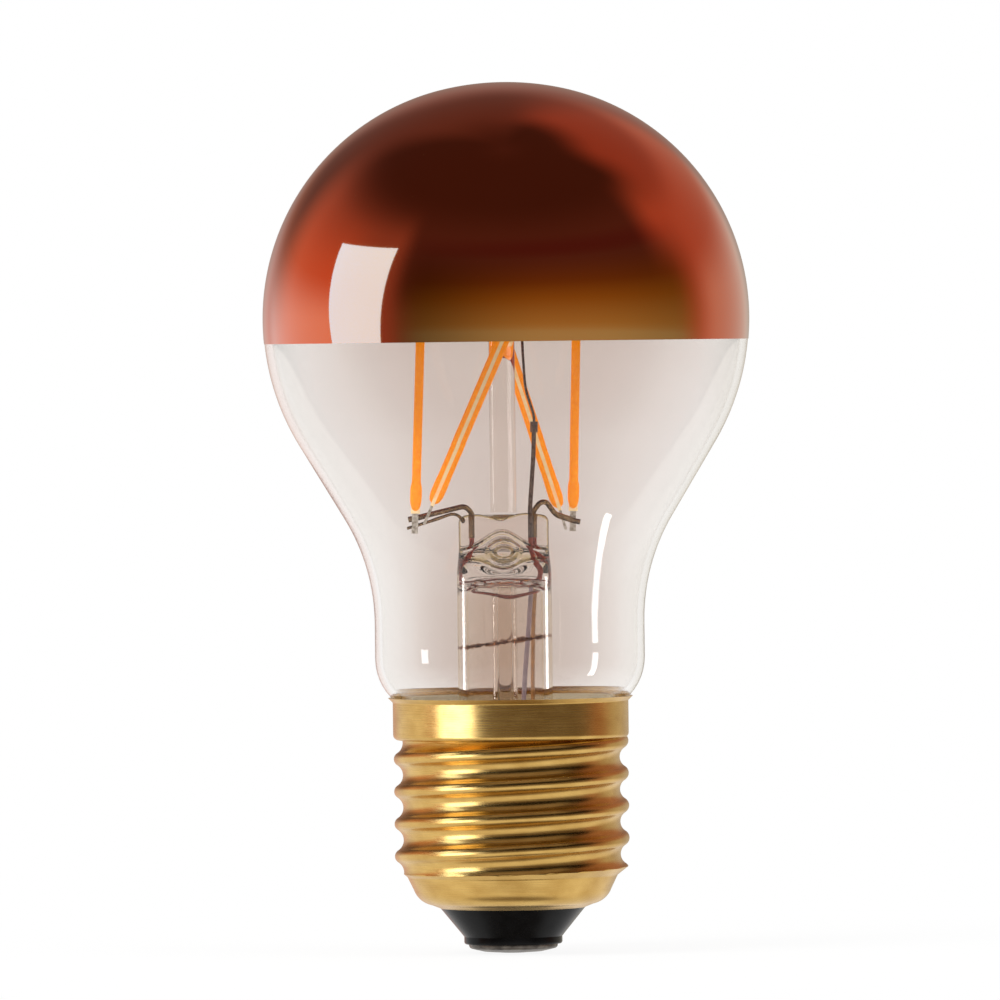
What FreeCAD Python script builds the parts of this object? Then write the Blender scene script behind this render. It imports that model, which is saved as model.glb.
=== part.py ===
import FreeCAD
import Part
import Sketcher
import math
import os

# A clear glass lamp bulb with a mirrored crown, four light strips on a glass stem and a
# brass screw cap. Millimetres. The origin is the lowest point of the centre contact, on the
# cap's axis, and +Z runs up the bulb to the middle of the crown. Front is -Y.

doc = FreeCAD.newDocument("mirror_crown_bulb")

# Driving dimensions

SIZES = [
    # Centre contact and insulator, from the bottom up
    ("contact_radius", 5.0),
    ("contact_flat_radius", 1.5),
    ("contact_edge", 0.4),
    ("contact_lip", 0.15),
    ("contact_margin", 0.5),
    ("insulator_step_rise", 0.95),
    ("insulator_step", 0.2),
    ("insulator_cone", 3.1),
    ("insulator_flange", 1.2),
    ("lead_clearance", 0.25),
    # Rolled brass shell
    ("shell_wall", 0.3),
    ("seat_rise", 0.4),
    ("seat_width", 1.0),
    ("drum_turn_rise", 1.65),
    ("drum_turn", 1.95),
    ("drum_round", 2.6),
    ("drum_rise", 1.55),
    ("drum_taper", 0.75),
    ("drum_step", 0.35),
    ("collar_length", 4.7),
    ("collar_step", 1.05),
    ("collar_corner", 0.6),
    ("rim_flare", 0.5),
    ("rim_flare_height", 0.5),
    # Screw thread of the shell
    ("thread_root_radius", 12.15),
    ("thread_depth", 1.0),
    ("thread_length", 15.3),
    ("thread_pitch", 3.629),
    ("thread_land", 0.9),
    ("crest_flat", 0.45),
    ("crest_bevel", 0.3),
    ("thread_start_drop", 1.085),
    ("thread_fade_height", 1.1),
    # Blown glass bulb
    ("bulb_radius", 27.2),
    ("crown_flattening", 3.2),
    ("shoulder_offset", 0.9),
    ("crown_clearance", 10.0),
    ("glass_wall", 0.8),
    ("flank_angle", 31),
    ("neck_radius", 15.1),
    ("neck_blend_radius", 22.8),
    ("neck_length", 8.4),
    ("neck_tuck_radius", 6.3),
    ("neck_end_depth", 8.6),
    ("neck_end_taper", 1.0),
    ("cement_gap", 0.7),
    ("rim_gap", 0.09),
    # Mirror coating
    ("mirror_thickness", 0.06),
    ("mirror_drop", 2.6),
    # Glass mount, from the neck's end up
    ("mount_offset", -0.54),
    ("flare_land", 1.2),
    ("stem_length", 23.4),
    ("tube_radius", 5.3),
    ("tube_wall", 1.0),
    ("tube_corner", 1.2),
    ("tube_cover", 1.2),
    ("press_length", 6.0),
    ("press_blend_length", 1.6),
    ("press_inset", 0.25),
    ("press_thickness", 3.6),
    ("press_corner", 0.9),
    ("rod_radius", 1.45),
    ("rod_head_swell", 0.45),
    ("rod_overreach", 4.0),
    ("vent_lift", 1.57),
    ("vent_width", 3.0),
    ("vent_rise", 1.7),
    ("vent_ring_radius", 1.95),
    ("vent_ring_rise", 0.4),
    ("exhaust_bore_radius", 0.75),
    ("exhaust_wall", 0.62),
    ("exhaust_tip_rise", 8.0),
    ("exhaust_tip_length", 2.7),
    ("exhaust_tip_radius", 0.7),
    ("exhaust_tip_round", 0.4),
    # Light strips
    ("strip_length", 33.0),
    ("strip_width", 1.0),
    ("coat_depth", 0.6),
    ("coat_end_width", 1.3),
    ("coat_end_length", 3.0),
    ("carrier_thickness", 0.4),
    ("carrier_end", 0.3),
    ("tab_width", 0.7),
    ("tab_thickness", 0.3),
    ("tab_length", 2.2),
    # Wires
    ("arm_wire_diameter", 0.6),
    ("strand_diameter", 0.35),
    ("riser_diameter", 0.5),
    ("riser_top_diameter", 0.3),
    ("seal_wire_diameter", 0.5),
    ("lead_wire_diameter", 0.5),
    ("left_seal_inset", 1.55),
    ("right_seal_inset", 1.75),
    ("riser_seal_inset", 2.1),
    ("seal_wire_depth", 0.6),
    ("seal_joint_depth", 2.8),
    ("wire_gap", 0.15),
    # Driver board in the cap
    ("board_side_gap", 4.35),
    ("board_thickness", 1.0),
    ("board_clearance", 1.23),
    ("board_rise", 11.4),
    ("chip_width", 4.9),
    ("chip_depth", 1.5),
    ("chip_rise", 3.9),
    ("chip_inset", 0.8),
    ("chip_height", 5.6),
    ("rectifier_height", 1.2),
    ("capacitor_length", 7.5),
    ("capacitor_clearance", 0.5),
    ("capacitor_height", 0.6),
    ("choke_radius", 2.3),
    ("choke_length", 4.0),
    ("choke_inset", 0.6),
    ("choke_height", 1.0),
    ("resistor_radius", 1.2),
    ("resistor_length", 6.5),
    ("resistor_reach", 2.6),
    ("resistor_height", 0.9),
    ("resistor_lead", 1.3),
]

dims = doc.addObject("Spreadsheet::Sheet", "Dim")
for row, (name, size) in enumerate(SIZES, 1):
    dims.set(f"A{row}", name)
    dims.set(f"B{row}", str(size))
    dims.setAlias(f"B{row}", name)
doc.recompute()


def worth(expression):
    """The number that an expression on the sheet's sizes gives."""
    result = dims.evalExpression(expression)
    return float(getattr(result, "Value", result))


# Heights and radii that follow from those sizes, from the contact up to the rim

CONTACT_TOP = "(2*Dim.contact_edge + Dim.contact_lip)"
TIP_RADIUS = "(Dim.contact_radius + Dim.contact_margin)"
INSULATOR_STEP = f"({CONTACT_TOP} + Dim.insulator_step_rise)"
MOUTH = f"({INSULATOR_STEP} + Dim.insulator_cone)"
SEAT = f"({MOUTH} + Dim.seat_rise)"
DRUM_FOOT = f"({SEAT} + Dim.drum_turn_rise)"
DRUM_SHOULDER = f"({DRUM_FOOT} + Dim.drum_rise)"
COLLAR_FOOT = f"({DRUM_SHOULDER} + Dim.thread_length)"
RIM = f"({COLLAR_FOOT} + Dim.collar_length)"
SHOULDER_RADIUS = "(Dim.thread_root_radius - Dim.drum_step)"
FOOT_RADIUS = f"({SHOULDER_RADIUS} - Dim.drum_taper)"
SEAT_RADIUS = f"({FOOT_RADIUS} - Dim.drum_turn)"
MOUTH_RADIUS = f"({SEAT_RADIUS} - Dim.seat_width)"
THREAD_CREST = "(Dim.thread_root_radius + Dim.thread_depth)"
THREAD_START = f"({DRUM_SHOULDER} - Dim.thread_start_drop)"
COLLAR_RADIUS = "(Dim.thread_root_radius + Dim.collar_step)"
COLLAR_INSIDE = f"({COLLAR_RADIUS} - Dim.shell_wall)"
RIM_RADIUS = f"({COLLAR_RADIUS} + Dim.rim_flare)"

# The neck is tucked in: it clears the rim and leaves a gap for the cement in the collar

TUCK_REACH = f"({COLLAR_INSIDE} - Dim.cement_gap)"
TUCK_COS = f"(1 - (Dim.neck_radius - {TUCK_REACH})/Dim.neck_tuck_radius)"
TUCK_SIN = f"sqrt(1 - {TUCK_COS}^2)"
RIM_INSIDE = f"({RIM_RADIUS} - Dim.shell_wall - Dim.rim_gap)"
RIM_COS = f"(1 - (Dim.neck_radius - {RIM_INSIDE})/Dim.neck_tuck_radius)"
TUCK_TOP = f"({RIM} + Dim.neck_tuck_radius*sqrt(max(0; 1 - {RIM_COS}^2)))"
TUCK_END = f"({TUCK_TOP} - Dim.neck_tuck_radius*{TUCK_SIN})"
NECK_END = f"({RIM} - Dim.neck_end_depth)"
NECK_END_RADIUS = f"({TUCK_REACH} - Dim.neck_end_taper)"

# The glass mount stands on the neck's end: stem, press, rod and strips

TUBE_TOP = f"({NECK_END} + Dim.stem_length)"
CAVITY_TOP = f"({TUBE_TOP} - Dim.tube_cover)"
PRESS_FOOT = f"({TUBE_TOP} + Dim.press_blend_length)"
VENT = f"({TUBE_TOP} + Dim.vent_lift)"
PRESS_TOP = f"({TUBE_TOP} + Dim.press_length)"
ROD_TOP = f"({PRESS_TOP} + Dim.strip_length + Dim.rod_overreach)"

# The bulb stands on its neck, or higher where its crown would come too near the mount

CROWN_RADIUS = "(Dim.bulb_radius + Dim.crown_flattening)"
CROWN_DROP = "sqrt(Dim.crown_flattening^2 + 2*Dim.crown_flattening*Dim.shoulder_offset)"
CROWN_LEAN = "(Dim.crown_flattening + Dim.shoulder_offset)"
FLANK_RUN = (
    "((Dim.bulb_radius*cos(Dim.flank_angle) - Dim.neck_radius"
    " - Dim.neck_blend_radius*(1 - cos(Dim.flank_angle)))/sin(Dim.flank_angle))"
)
FLANK_RISE = (
    f"({FLANK_RUN}*cos(Dim.flank_angle)"
    " + (Dim.bulb_radius + Dim.neck_blend_radius)*sin(Dim.flank_angle))"
)
CLEAR_CENTRE = (
    f"({ROD_TOP} + Dim.crown_clearance + Dim.glass_wall - {CROWN_RADIUS} + {CROWN_DROP})"
)
BULB_CENTRE = f"max({RIM} + Dim.neck_length + {FLANK_RISE}; {CLEAR_CENTRE})"
BLEND_HEIGHT = f"({BULB_CENTRE} - {FLANK_RISE})"

# Sketches whose corners and arcs are bound to the sheet

UPRIGHT = FreeCAD.Placement(FreeCAD.Vector(), FreeCAD.Rotation(FreeCAD.Vector(1, 0, 0), 90))
AXIS = FreeCAD.Vector(0, 0, 1)
NOTHING = 1e-9


def arc_between(start, end, radius, side):
    """The shorter arc from start to end. Side 1 has its centre on the left of the chord."""
    chord = end - start
    left = FreeCAD.Vector(-chord.y, chord.x, 0).normalize()
    reach = math.sqrt(radius * radius - chord.Length * chord.Length / 4)
    centre = (start + end) * 0.5 + left * (side * reach)
    first = math.atan2(start.y - centre.y, start.x - centre.x)
    last = math.atan2(end.y - centre.y, end.x - centre.x)
    if side < 0:
        first, last = last, first
    if last < first:
        last += 2 * math.pi
    return Part.ArcOfCircle(Part.Circle(centre, AXIS, radius), first, last)


def bind(sketch, kind, where, number, expression):
    """Add one measured constraint and tie it to the sheet."""
    sketch.addConstraint(Sketcher.Constraint(kind, *where, number))
    sketch.setExpression(f"Constraints[{sketch.ConstraintCount - 1}]", expression)


def draw_outline(sketch, corners):
    """A closed outline. A corner is (x, y), or (x, y, radius, side) where an arc follows it."""
    places = [FreeCAD.Vector(worth(corner[0]), worth(corner[1]), 0) for corner in corners]
    ends = []
    for number, corner in enumerate(corners):
        start = places[number]
        end = places[(number + 1) % len(places)]
        if len(corner) == 2:
            edge = sketch.addGeometry(Part.LineSegment(start, end), False)
            ends.append((edge, 1, 2))
            continue
        radius = worth(corner[2])
        edge = sketch.addGeometry(arc_between(start, end, radius, corner[3]), False)
        ends.append((edge, 1, 2) if corner[3] > 0 else (edge, 2, 1))
        bind(sketch, "Radius", (edge,), radius, corner[2])
    for number, corner in enumerate(corners):
        edge, first, _ = ends[number]
        before, _, last = ends[number - 1]
        sketch.addConstraint(Sketcher.Constraint("Coincident", before, last, edge, first))
        for kind, axis, along, text in (
            ("DistanceX", -2, places[number].x, corner[0]),
            ("DistanceY", -1, places[number].y, corner[1]),
        ):
            if abs(along) < NOTHING:
                sketch.addConstraint(Sketcher.Constraint("PointOnObject", edge, first, axis))
            else:
                bind(sketch, kind, (-1, 1, edge, first), along, text)


def origin_plane(body, role):
    """One of a body's own origin planes."""
    return next(item for item in body.Origin.OriginFeatures if item.Role == role)


def body_sketch(body, name, corners, role="XZ_Plane", lift=None):
    """A sketch of a closed outline on a body's own origin plane, lifted off it if asked."""
    sketch = body.newObject("Sketcher::SketchObject", name)
    sketch.AttachmentSupport = [(origin_plane(body, role), "")]
    sketch.MapMode = "FlatFace"
    if lift:
        sketch.setExpression(".AttachmentOffset.Base.z", lift)
    draw_outline(sketch, corners)
    return sketch


def new_body(label):
    """An empty body for one sub-part."""
    body = doc.addObject("PartDesign::Body", label)
    body.Label = label
    return body


def add_revolution(body, corners):
    """Turn a closed outline about the vertical axis as the body's next feature."""
    sketch = body_sketch(body, body.Name + "_outline", corners)
    turn = body.newObject("PartDesign::Revolution", body.Name + "_turn")
    turn.Profile = sketch
    turn.ReferenceAxis = (sketch, ["V_Axis"])
    turn.Angle = 360
    sketch.Visibility = False
    return turn


def turned_body(label, corners):
    """A sub-part that is one solid of revolution."""
    body = new_body(label)
    add_revolution(body, corners)
    return body


def on_mount(item):
    """Put a sub-part of the glass mount at the mount's small offset from the cap's axis."""
    item.setExpression(".Placement.Base.x", "Dim.mount_offset")
    return item


# Blown glass bulb: a flattened dome, a ball, a straight flank, a hollow blend and a neck


def dome_corners(inset):
    """The outline from the middle of the crown to the widest ring, moved in by a wall."""
    radius = f"({CROWN_RADIUS} - {inset})"
    return [
        ("0", f"{BULB_CENTRE} - {CROWN_DROP} + {radius}", radius, -1),
        (
            f"{radius}*Dim.shoulder_offset/{CROWN_LEAN}",
            f"{BULB_CENTRE} - {CROWN_DROP} + {radius}*{CROWN_DROP}/{CROWN_LEAN}",
            f"Dim.bulb_radius - Dim.shoulder_offset - {inset}",
            -1,
        ),
        (f"Dim.bulb_radius - {inset}", BULB_CENTRE, f"Dim.bulb_radius - {inset}", -1),
    ]


def neck_corners(inset):
    """The outline from the lower edge of the ball to the neck's end in the cap."""
    ball = f"(Dim.bulb_radius - {inset})"
    blend = f"(Dim.neck_blend_radius + {inset})"
    tuck = f"(Dim.neck_tuck_radius - {inset})"
    return [
        (f"{ball}*cos(Dim.flank_angle)", f"{BULB_CENTRE} - {ball}*sin(Dim.flank_angle)"),
        (
            f"Dim.neck_radius + Dim.neck_blend_radius - {blend}*cos(Dim.flank_angle)",
            f"{BLEND_HEIGHT} + {blend}*sin(Dim.flank_angle)",
            blend,
            1,
        ),
        (f"Dim.neck_radius - {inset}", BLEND_HEIGHT),
        (f"Dim.neck_radius - {inset}", TUCK_TOP, tuck, -1),
        (
            f"Dim.neck_radius - Dim.neck_tuck_radius + {tuck}*{TUCK_COS}",
            f"{TUCK_TOP} - {tuck}*{TUCK_SIN}",
        ),
        (f"{NECK_END_RADIUS} - {inset}", NECK_END),
    ]


def turned_back(corners):
    """The same outline drawn from its last corner to its first."""
    back = []
    for number in range(len(corners) - 1, -1, -1):
        arc = corners[number - 1][2:] if number else ()
        back.append(corners[number][:2] + ((arc[0], -arc[1]) if arc else ()))
    return back


outer_glass = dome_corners("0") + neck_corners("0")
inner_glass = dome_corners("Dim.glass_wall") + neck_corners("Dim.glass_wall")
glass_envelope = turned_body("glass_envelope", outer_glass + turned_back(inner_glass))

# Mirror coating: a thin copper-coloured skin on the dome, ending in a clean edge


def mirror_corners(inset):
    """The dome's outline down to the coating's edge, a little below the widest ring."""
    edge_radius = f"sqrt((Dim.bulb_radius - {inset})^2 - Dim.mirror_drop^2)"
    return dome_corners(inset) + [(edge_radius, f"{BULB_CENTRE} - Dim.mirror_drop")]


outer_mirror = mirror_corners("(0 - Dim.mirror_thickness)")
crown_mirror = turned_body("crown_mirror", outer_mirror + turned_back(mirror_corners("0")))

# Rolled brass shell: a turned form and a helical ridge, less the same form one wall smaller.
# The ridge on the inner form is narrower than the outer one by a share of the wall at its
# root, its bevel and its crest. It runs out on a cone that starts inside the drum's wall.

RIDGE_HALF = "((Dim.thread_pitch - Dim.thread_land)/2)"
CREST_HALF = "(Dim.crest_flat/2)"
RIDGE_SINK = 1.6
RIDGE_MEET = 0.06
ROOT_SHARE = 0.5
BEVEL_SHARE = 0.4
CREST_SHARE = 0.2
FADE_SHARE = 1.2
FADE_CLEAR = 0.1
THREAD_TOP = f"({COLLAR_FOOT} + Dim.collar_corner + {RIDGE_HALF})"
FLARE_FOOT = f"({RIM} - Dim.rim_flare_height)"


def free_sketch(name, corners, placement):
    """A sketch of a closed outline that stands by itself."""
    sketch = doc.addObject("Sketcher::SketchObject", name)
    sketch.Placement = placement
    draw_outline(sketch, corners)
    return sketch


def turned_form(name, corners):
    """A plain solid of revolution for use in a boolean."""
    form = doc.addObject("Part::Revolution", name)
    form.Source = free_sketch(name + "_outline", corners, UPRIGHT)
    form.Axis = (0, 0, 1)
    form.Angle = 360
    form.Solid = True
    return form


def shell_form(name, inset):
    """The shell as a full solid, moved in by a wall, with its thread."""
    barrel = turned_form(name + "_barrel", [
        ("0", f"{MOUTH} + {inset}"),
        (MOUTH_RADIUS, f"{MOUTH} + {inset}"),
        (SEAT_RADIUS, f"{SEAT} + {inset}", f"Dim.drum_round - {inset}", 1),
        (f"{FOOT_RADIUS} - {inset}", DRUM_FOOT),
        (f"{SHOULDER_RADIUS} - {inset}", DRUM_SHOULDER),
        (f"Dim.thread_root_radius - {inset}", f"{DRUM_SHOULDER} + Dim.drum_step"),
        (f"Dim.thread_root_radius - {inset}", f"{COLLAR_FOOT} + {inset}"),
        (
            f"{COLLAR_RADIUS} - {inset} - Dim.collar_corner",
            f"{COLLAR_FOOT} + {inset}",
            "Dim.collar_corner",
            1,
        ),
        (f"{COLLAR_RADIUS} - {inset}", f"{COLLAR_FOOT} + {inset} + Dim.collar_corner"),
        (f"{COLLAR_RADIUS} - {inset}", FLARE_FOOT),
        (f"{RIM_RADIUS} - {inset}", RIM),
        ("0", RIM),
    ])
    half_turn = FreeCAD.Placement(FreeCAD.Vector(), FreeCAD.Rotation(AXIS, 180))
    deep = f"Dim.thread_root_radius - {inset} - {RIDGE_SINK}"
    root = f"Dim.thread_root_radius - {inset} - {RIDGE_MEET}"
    bevel = f"{THREAD_CREST} - {inset} - Dim.crest_bevel"
    crest = f"{THREAD_CREST} - {inset}"
    root_half = f"({RIDGE_HALF} - {ROOT_SHARE}*{inset})"
    bevel_half = f"({CREST_HALF} + Dim.crest_bevel - {BEVEL_SHARE}*{inset})"
    crest_half = f"({CREST_HALF} - {CREST_SHARE}*{inset})"
    ridge_outline = free_sketch(name + "_ridge_outline", [
        (deep, f"{THREAD_START} - {root_half}"),
        (root, f"{THREAD_START} - {root_half}"),
        (bevel, f"{THREAD_START} - {bevel_half}"),
        (crest, f"{THREAD_START} - {crest_half}"),
        (crest, f"{THREAD_START} + {crest_half}"),
        (bevel, f"{THREAD_START} + {bevel_half}"),
        (root, f"{THREAD_START} + {root_half}"),
        (deep, f"{THREAD_START} + {root_half}"),
    ], half_turn * UPRIGHT)
    helix = doc.addObject("Part::Helix", name + "_helix")
    helix.Placement = half_turn
    helix.setExpression("Pitch", "Dim.thread_pitch")
    helix.setExpression("Height", f"{THREAD_TOP} - {THREAD_START}")
    helix.setExpression("Radius", "Dim.thread_root_radius")
    helix.setExpression(".Placement.Base.z", THREAD_START)
    ridge = doc.addObject("Part::Sweep", name + "_ridge")
    ridge.Sections = [ridge_outline]
    ridge.Spine = (helix, [])
    ridge.Solid = True
    ridge.Frenet = True
    fade = turned_form(name + "_fade", [
        ("0", f"{DRUM_SHOULDER} - Dim.shell_wall"),
        (
            f"{SHOULDER_RADIUS} - {inset} - {FADE_SHARE}*Dim.shell_wall",
            f"{DRUM_SHOULDER} - Dim.shell_wall",
        ),
        (f"{THREAD_CREST} - {inset} + {FADE_CLEAR}", f"{DRUM_SHOULDER} + Dim.thread_fade_height"),
        (f"{THREAD_CREST} - {inset} + {FADE_CLEAR}", FLARE_FOOT),
        ("0", FLARE_FOOT),
    ])
    faded_ridge = doc.addObject("Part::Common", name + "_faded_ridge")
    faded_ridge.Base = ridge
    faded_ridge.Tool = fade
    whole = doc.addObject("Part::Fuse", name)
    whole.Base = barrel
    whole.Tool = faded_ridge
    return whole


closed_shell = doc.addObject("Part::Cut", "closed_shell")
closed_shell.Base = shell_form("shell_outside", "0")
closed_shell.Tool = shell_form("shell_inside", "Dim.shell_wall")
mouth = doc.addObject("Part::Cylinder", "mouth")
mouth.setExpression("Radius", MOUTH_RADIUS)
mouth.setExpression("Height", f"{MOUTH} + 2*Dim.shell_wall")
cap_shell = doc.addObject("Part::Cut", "cap_shell")
cap_shell.Base = closed_shell
cap_shell.Tool = mouth


# Insulator: a black moulded cone that plugs the shell's mouth and carries the contact

MOUTH_INSIDE = f"({MOUTH} + Dim.shell_wall)"
FLANGE_TOP = f"({MOUTH_INSIDE} + Dim.insulator_flange)"
SEAT_SLOPE = "(Dim.seat_rise/Dim.seat_width)"
LEAD_HOLE = "(Dim.lead_wire_diameter/2 + Dim.lead_clearance)"

cap_insulator = turned_body("cap_insulator", [
    (LEAD_HOLE, CONTACT_TOP),
    (f"{TIP_RADIUS} - Dim.insulator_step", CONTACT_TOP),
    (TIP_RADIUS, f"{CONTACT_TOP} + Dim.insulator_step"),
    (TIP_RADIUS, INSULATOR_STEP),
    (MOUTH_RADIUS, MOUTH),
    (MOUTH_RADIUS, MOUTH_INSIDE),
    (f"{MOUTH_RADIUS} + Dim.insulator_step", f"{MOUTH_INSIDE} + Dim.insulator_step*{SEAT_SLOPE}"),
    (f"{MOUTH_RADIUS} + Dim.insulator_step", FLANGE_TOP),
    ("Dim.contact_radius", FLANGE_TOP),
    (LEAD_HOLE, INSULATOR_STEP),
])

# Centre contact: a pressed nickel disc under the insulator, flat in the middle

centre_contact = turned_body("centre_contact", [
    ("0", "0"),
    ("Dim.contact_flat_radius", "0"),
    ("Dim.contact_radius - Dim.contact_edge", "Dim.contact_edge"),
    ("Dim.contact_radius", "2*Dim.contact_edge"),
    ("Dim.contact_radius", CONTACT_TOP),
    ("0", CONTACT_TOP),
])

# Basing cement: the ring between the neck and the collar

CEMENT_FOOT = f"({COLLAR_FOOT} + Dim.collar_corner + Dim.shell_wall)"
NECK_TAPER = f"(Dim.neck_end_taper/({TUCK_END} - {NECK_END}))"

basing_cement = turned_body("basing_cement", [
    (f"{NECK_END_RADIUS} + {NECK_TAPER}*({CEMENT_FOOT} - {NECK_END})", CEMENT_FOOT),
    (COLLAR_INSIDE, CEMENT_FOOT),
    (COLLAR_INSIDE, TUCK_END),
    (TUCK_REACH, TUCK_END),
])

# Stem: a glass tube flared at its foot and pressed flat round the wires at its head

FLARE_LAND = f"({NECK_END_RADIUS} - Dim.glass_wall - Dim.flare_land)"
FLARE_TURN = f"({FLARE_LAND} - Dim.tube_radius)"
BORE = "(Dim.tube_radius - Dim.tube_wall)"
PRESS_HALF = "(Dim.press_thickness/2)"
PRESS_SIDE = "(Dim.tube_radius - Dim.press_inset)"

stem_body = new_body("stem_glass")
add_revolution(stem_body, [
    (BORE, f"{NECK_END} + {FLARE_TURN}"),
    (BORE, CAVITY_TOP),
    ("0", CAVITY_TOP),
    ("0", TUBE_TOP),
    ("Dim.tube_radius - Dim.tube_corner", TUBE_TOP, "Dim.tube_corner", -1),
    ("Dim.tube_radius", f"{TUBE_TOP} - Dim.tube_corner"),
    ("Dim.tube_radius", f"{NECK_END} + {FLARE_TURN}", FLARE_TURN, 1),
    (FLARE_LAND, NECK_END),
    (FLARE_LAND, f"{NECK_END} - Dim.tube_wall", f"{FLARE_TURN} + Dim.tube_wall", -1),
])


def lifted_sketch(body, name, role, lift):
    """An empty sketch on a body's own origin plane, lifted off it."""
    sketch = body.newObject("Sketcher::SketchObject", name)
    sketch.AttachmentSupport = [(origin_plane(body, role), "")]
    sketch.MapMode = "FlatFace"
    sketch.setExpression(".AttachmentOffset.Base.z", lift)
    return sketch


# The flare's rim is melted to the neck's end, so it stands on the cap's axis, not the mount's

rim_outline = lifted_sketch(stem_body, "flare_rim_outline", "XY_Plane", NECK_END)
for across, radius in (("0 - Dim.mount_offset", NECK_END_RADIUS), ("0", FLARE_LAND)):
    middle = FreeCAD.Vector(worth(across), 0, 0)
    circle = rim_outline.addGeometry(Part.Circle(middle, AXIS, worth(radius)), False)
    bind(rim_outline, "Radius", (circle,), worth(radius), radius)
    if across == "0":
        rim_outline.addConstraint(Sketcher.Constraint("Coincident", circle, 3, -1, 1))
    else:
        rim_outline.addConstraint(Sketcher.Constraint("PointOnObject", circle, 3, -1))
        bind(rim_outline, "DistanceX", (-1, 1, circle, 3), middle.x, across)
flare_rim = stem_body.newObject("PartDesign::Pad", "flare_rim")
flare_rim.Profile = rim_outline
flare_rim.Reversed = True
flare_rim.setExpression("Length", "Dim.tube_wall")


def add_ellipse(body, name, across, rise, role, centre, lift):
    """A sketch of an ellipse on an origin plane, bound by its half widths and centre."""
    sketch = lifted_sketch(body, name, role, lift)
    wide = worth(across)
    narrow = worth(rise)
    middle = FreeCAD.Vector(0, worth(centre), 0)
    edge = sketch.addGeometry(Part.Ellipse(middle, wide, narrow), False)
    sketch.exposeInternalGeometry(edge)
    sketch.addConstraint(Sketcher.Constraint("PointOnObject", edge, 3, -2))
    if abs(middle.y) < NOTHING:
        sketch.addConstraint(Sketcher.Constraint("PointOnObject", edge, 3, -1))
    else:
        bind(sketch, "DistanceY", (-1, 1, edge, 3), middle.y, centre)
    sketch.addConstraint(Sketcher.Constraint("Horizontal", edge + 1))
    bind(sketch, "Distance", (edge + 1,), 2 * wide, f"2*{across}")
    bind(sketch, "Distance", (edge + 2,), 2 * narrow, f"2*{rise}")
    return sketch


PRESS_ROOT = "(Dim.tube_radius - Dim.tube_corner/2)"
press_root = add_ellipse(
    stem_body, "press_root", PRESS_ROOT, PRESS_ROOT, "XY_Plane", "0",
    f"{TUBE_TOP} - Dim.tube_corner/2",
)
press_waist = add_ellipse(
    stem_body, "press_waist", PRESS_SIDE, PRESS_HALF, "XY_Plane", "0", PRESS_FOOT,
)
press_blend = stem_body.newObject("PartDesign::AdditiveLoft", "press_blend")
press_blend.Profile = press_root
press_blend.Sections = [press_waist]

press_face = [
    (f"Dim.press_corner - {PRESS_SIDE}", f"0 - {PRESS_HALF}"),
    (f"{PRESS_SIDE} - Dim.press_corner", f"0 - {PRESS_HALF}", "Dim.press_corner", 1),
    (PRESS_SIDE, f"Dim.press_corner - {PRESS_HALF}"),
    (PRESS_SIDE, f"{PRESS_HALF} - Dim.press_corner", "Dim.press_corner", 1),
    (f"{PRESS_SIDE} - Dim.press_corner", PRESS_HALF),
    (f"Dim.press_corner - {PRESS_SIDE}", PRESS_HALF, "Dim.press_corner", 1),
    (f"0 - {PRESS_SIDE}", f"{PRESS_HALF} - Dim.press_corner"),
    (f"0 - {PRESS_SIDE}", f"Dim.press_corner - {PRESS_HALF}", "Dim.press_corner", 1),
]
PRESS_START = f"({PRESS_FOOT} - Dim.press_corner)"
press_sketch = body_sketch(stem_body, "press_outline", press_face, "XY_Plane", PRESS_START)
press = stem_body.newObject("PartDesign::Pad", "press")
press.Profile = press_sketch
press.setExpression("Length", f"{PRESS_TOP} - {PRESS_START}")
doc.recompute()


CLOSE = 1e-4
ROUND_SHARE = 0.9


def edges_at(shape, height):
    """The names of the edges that lie flat at a height."""
    found = []
    for number, edge in enumerate(shape.Edges, 1):
        box = edge.BoundBox
        if abs(box.ZMin - height) < CLOSE and abs(box.ZMax - height) < CLOSE:
            found.append(f"Edge{number}")
    return found


press_round = stem_body.newObject("PartDesign::Fillet", "press_round")
press_round.Base = (press, edges_at(press.Shape, worth(PRESS_TOP)))
press_round.setExpression("Radius", f"{ROUND_SHARE}*Dim.press_corner")
doc.recompute()

ring_outline = add_ellipse(
    stem_body, "vent_ring_outline", "Dim.vent_ring_radius", "Dim.vent_ring_radius",
    "XZ_Plane", VENT, f"{PRESS_HALF} - Dim.press_corner",
)
vent_ring = stem_body.newObject("PartDesign::Pad", "vent_ring")
vent_ring.Profile = ring_outline
vent_ring.setExpression("Length", "Dim.press_corner + Dim.vent_ring_rise")

bore_outline = body_sketch(stem_body, "vent_bore_outline", [
    ("0", f"{CAVITY_TOP} - Dim.tube_wall"),
    ("Dim.exhaust_bore_radius", f"{CAVITY_TOP} - Dim.tube_wall"),
    ("Dim.exhaust_bore_radius", VENT),
    ("0", VENT),
])
vent_bore = stem_body.newObject("PartDesign::Groove", "vent_bore")
vent_bore.Profile = bore_outline
vent_bore.ReferenceAxis = (bore_outline, ["V_Axis"])
vent_bore.Angle = 360

vent_outline = add_ellipse(
    stem_body, "vent_outline", "(Dim.vent_width/2)", "(Dim.vent_rise/2)",
    "XZ_Plane", VENT, "0",
)
vent = stem_body.newObject("PartDesign::Pocket", "vent")
vent.Profile = vent_outline
vent.Reversed = True
vent.setExpression("Length", "Dim.press_thickness + Dim.vent_ring_rise")
doc.recompute()

# Wires: straight runs joined by round bends, swept with a round section

RUN_SHARE = 0.45


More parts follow.
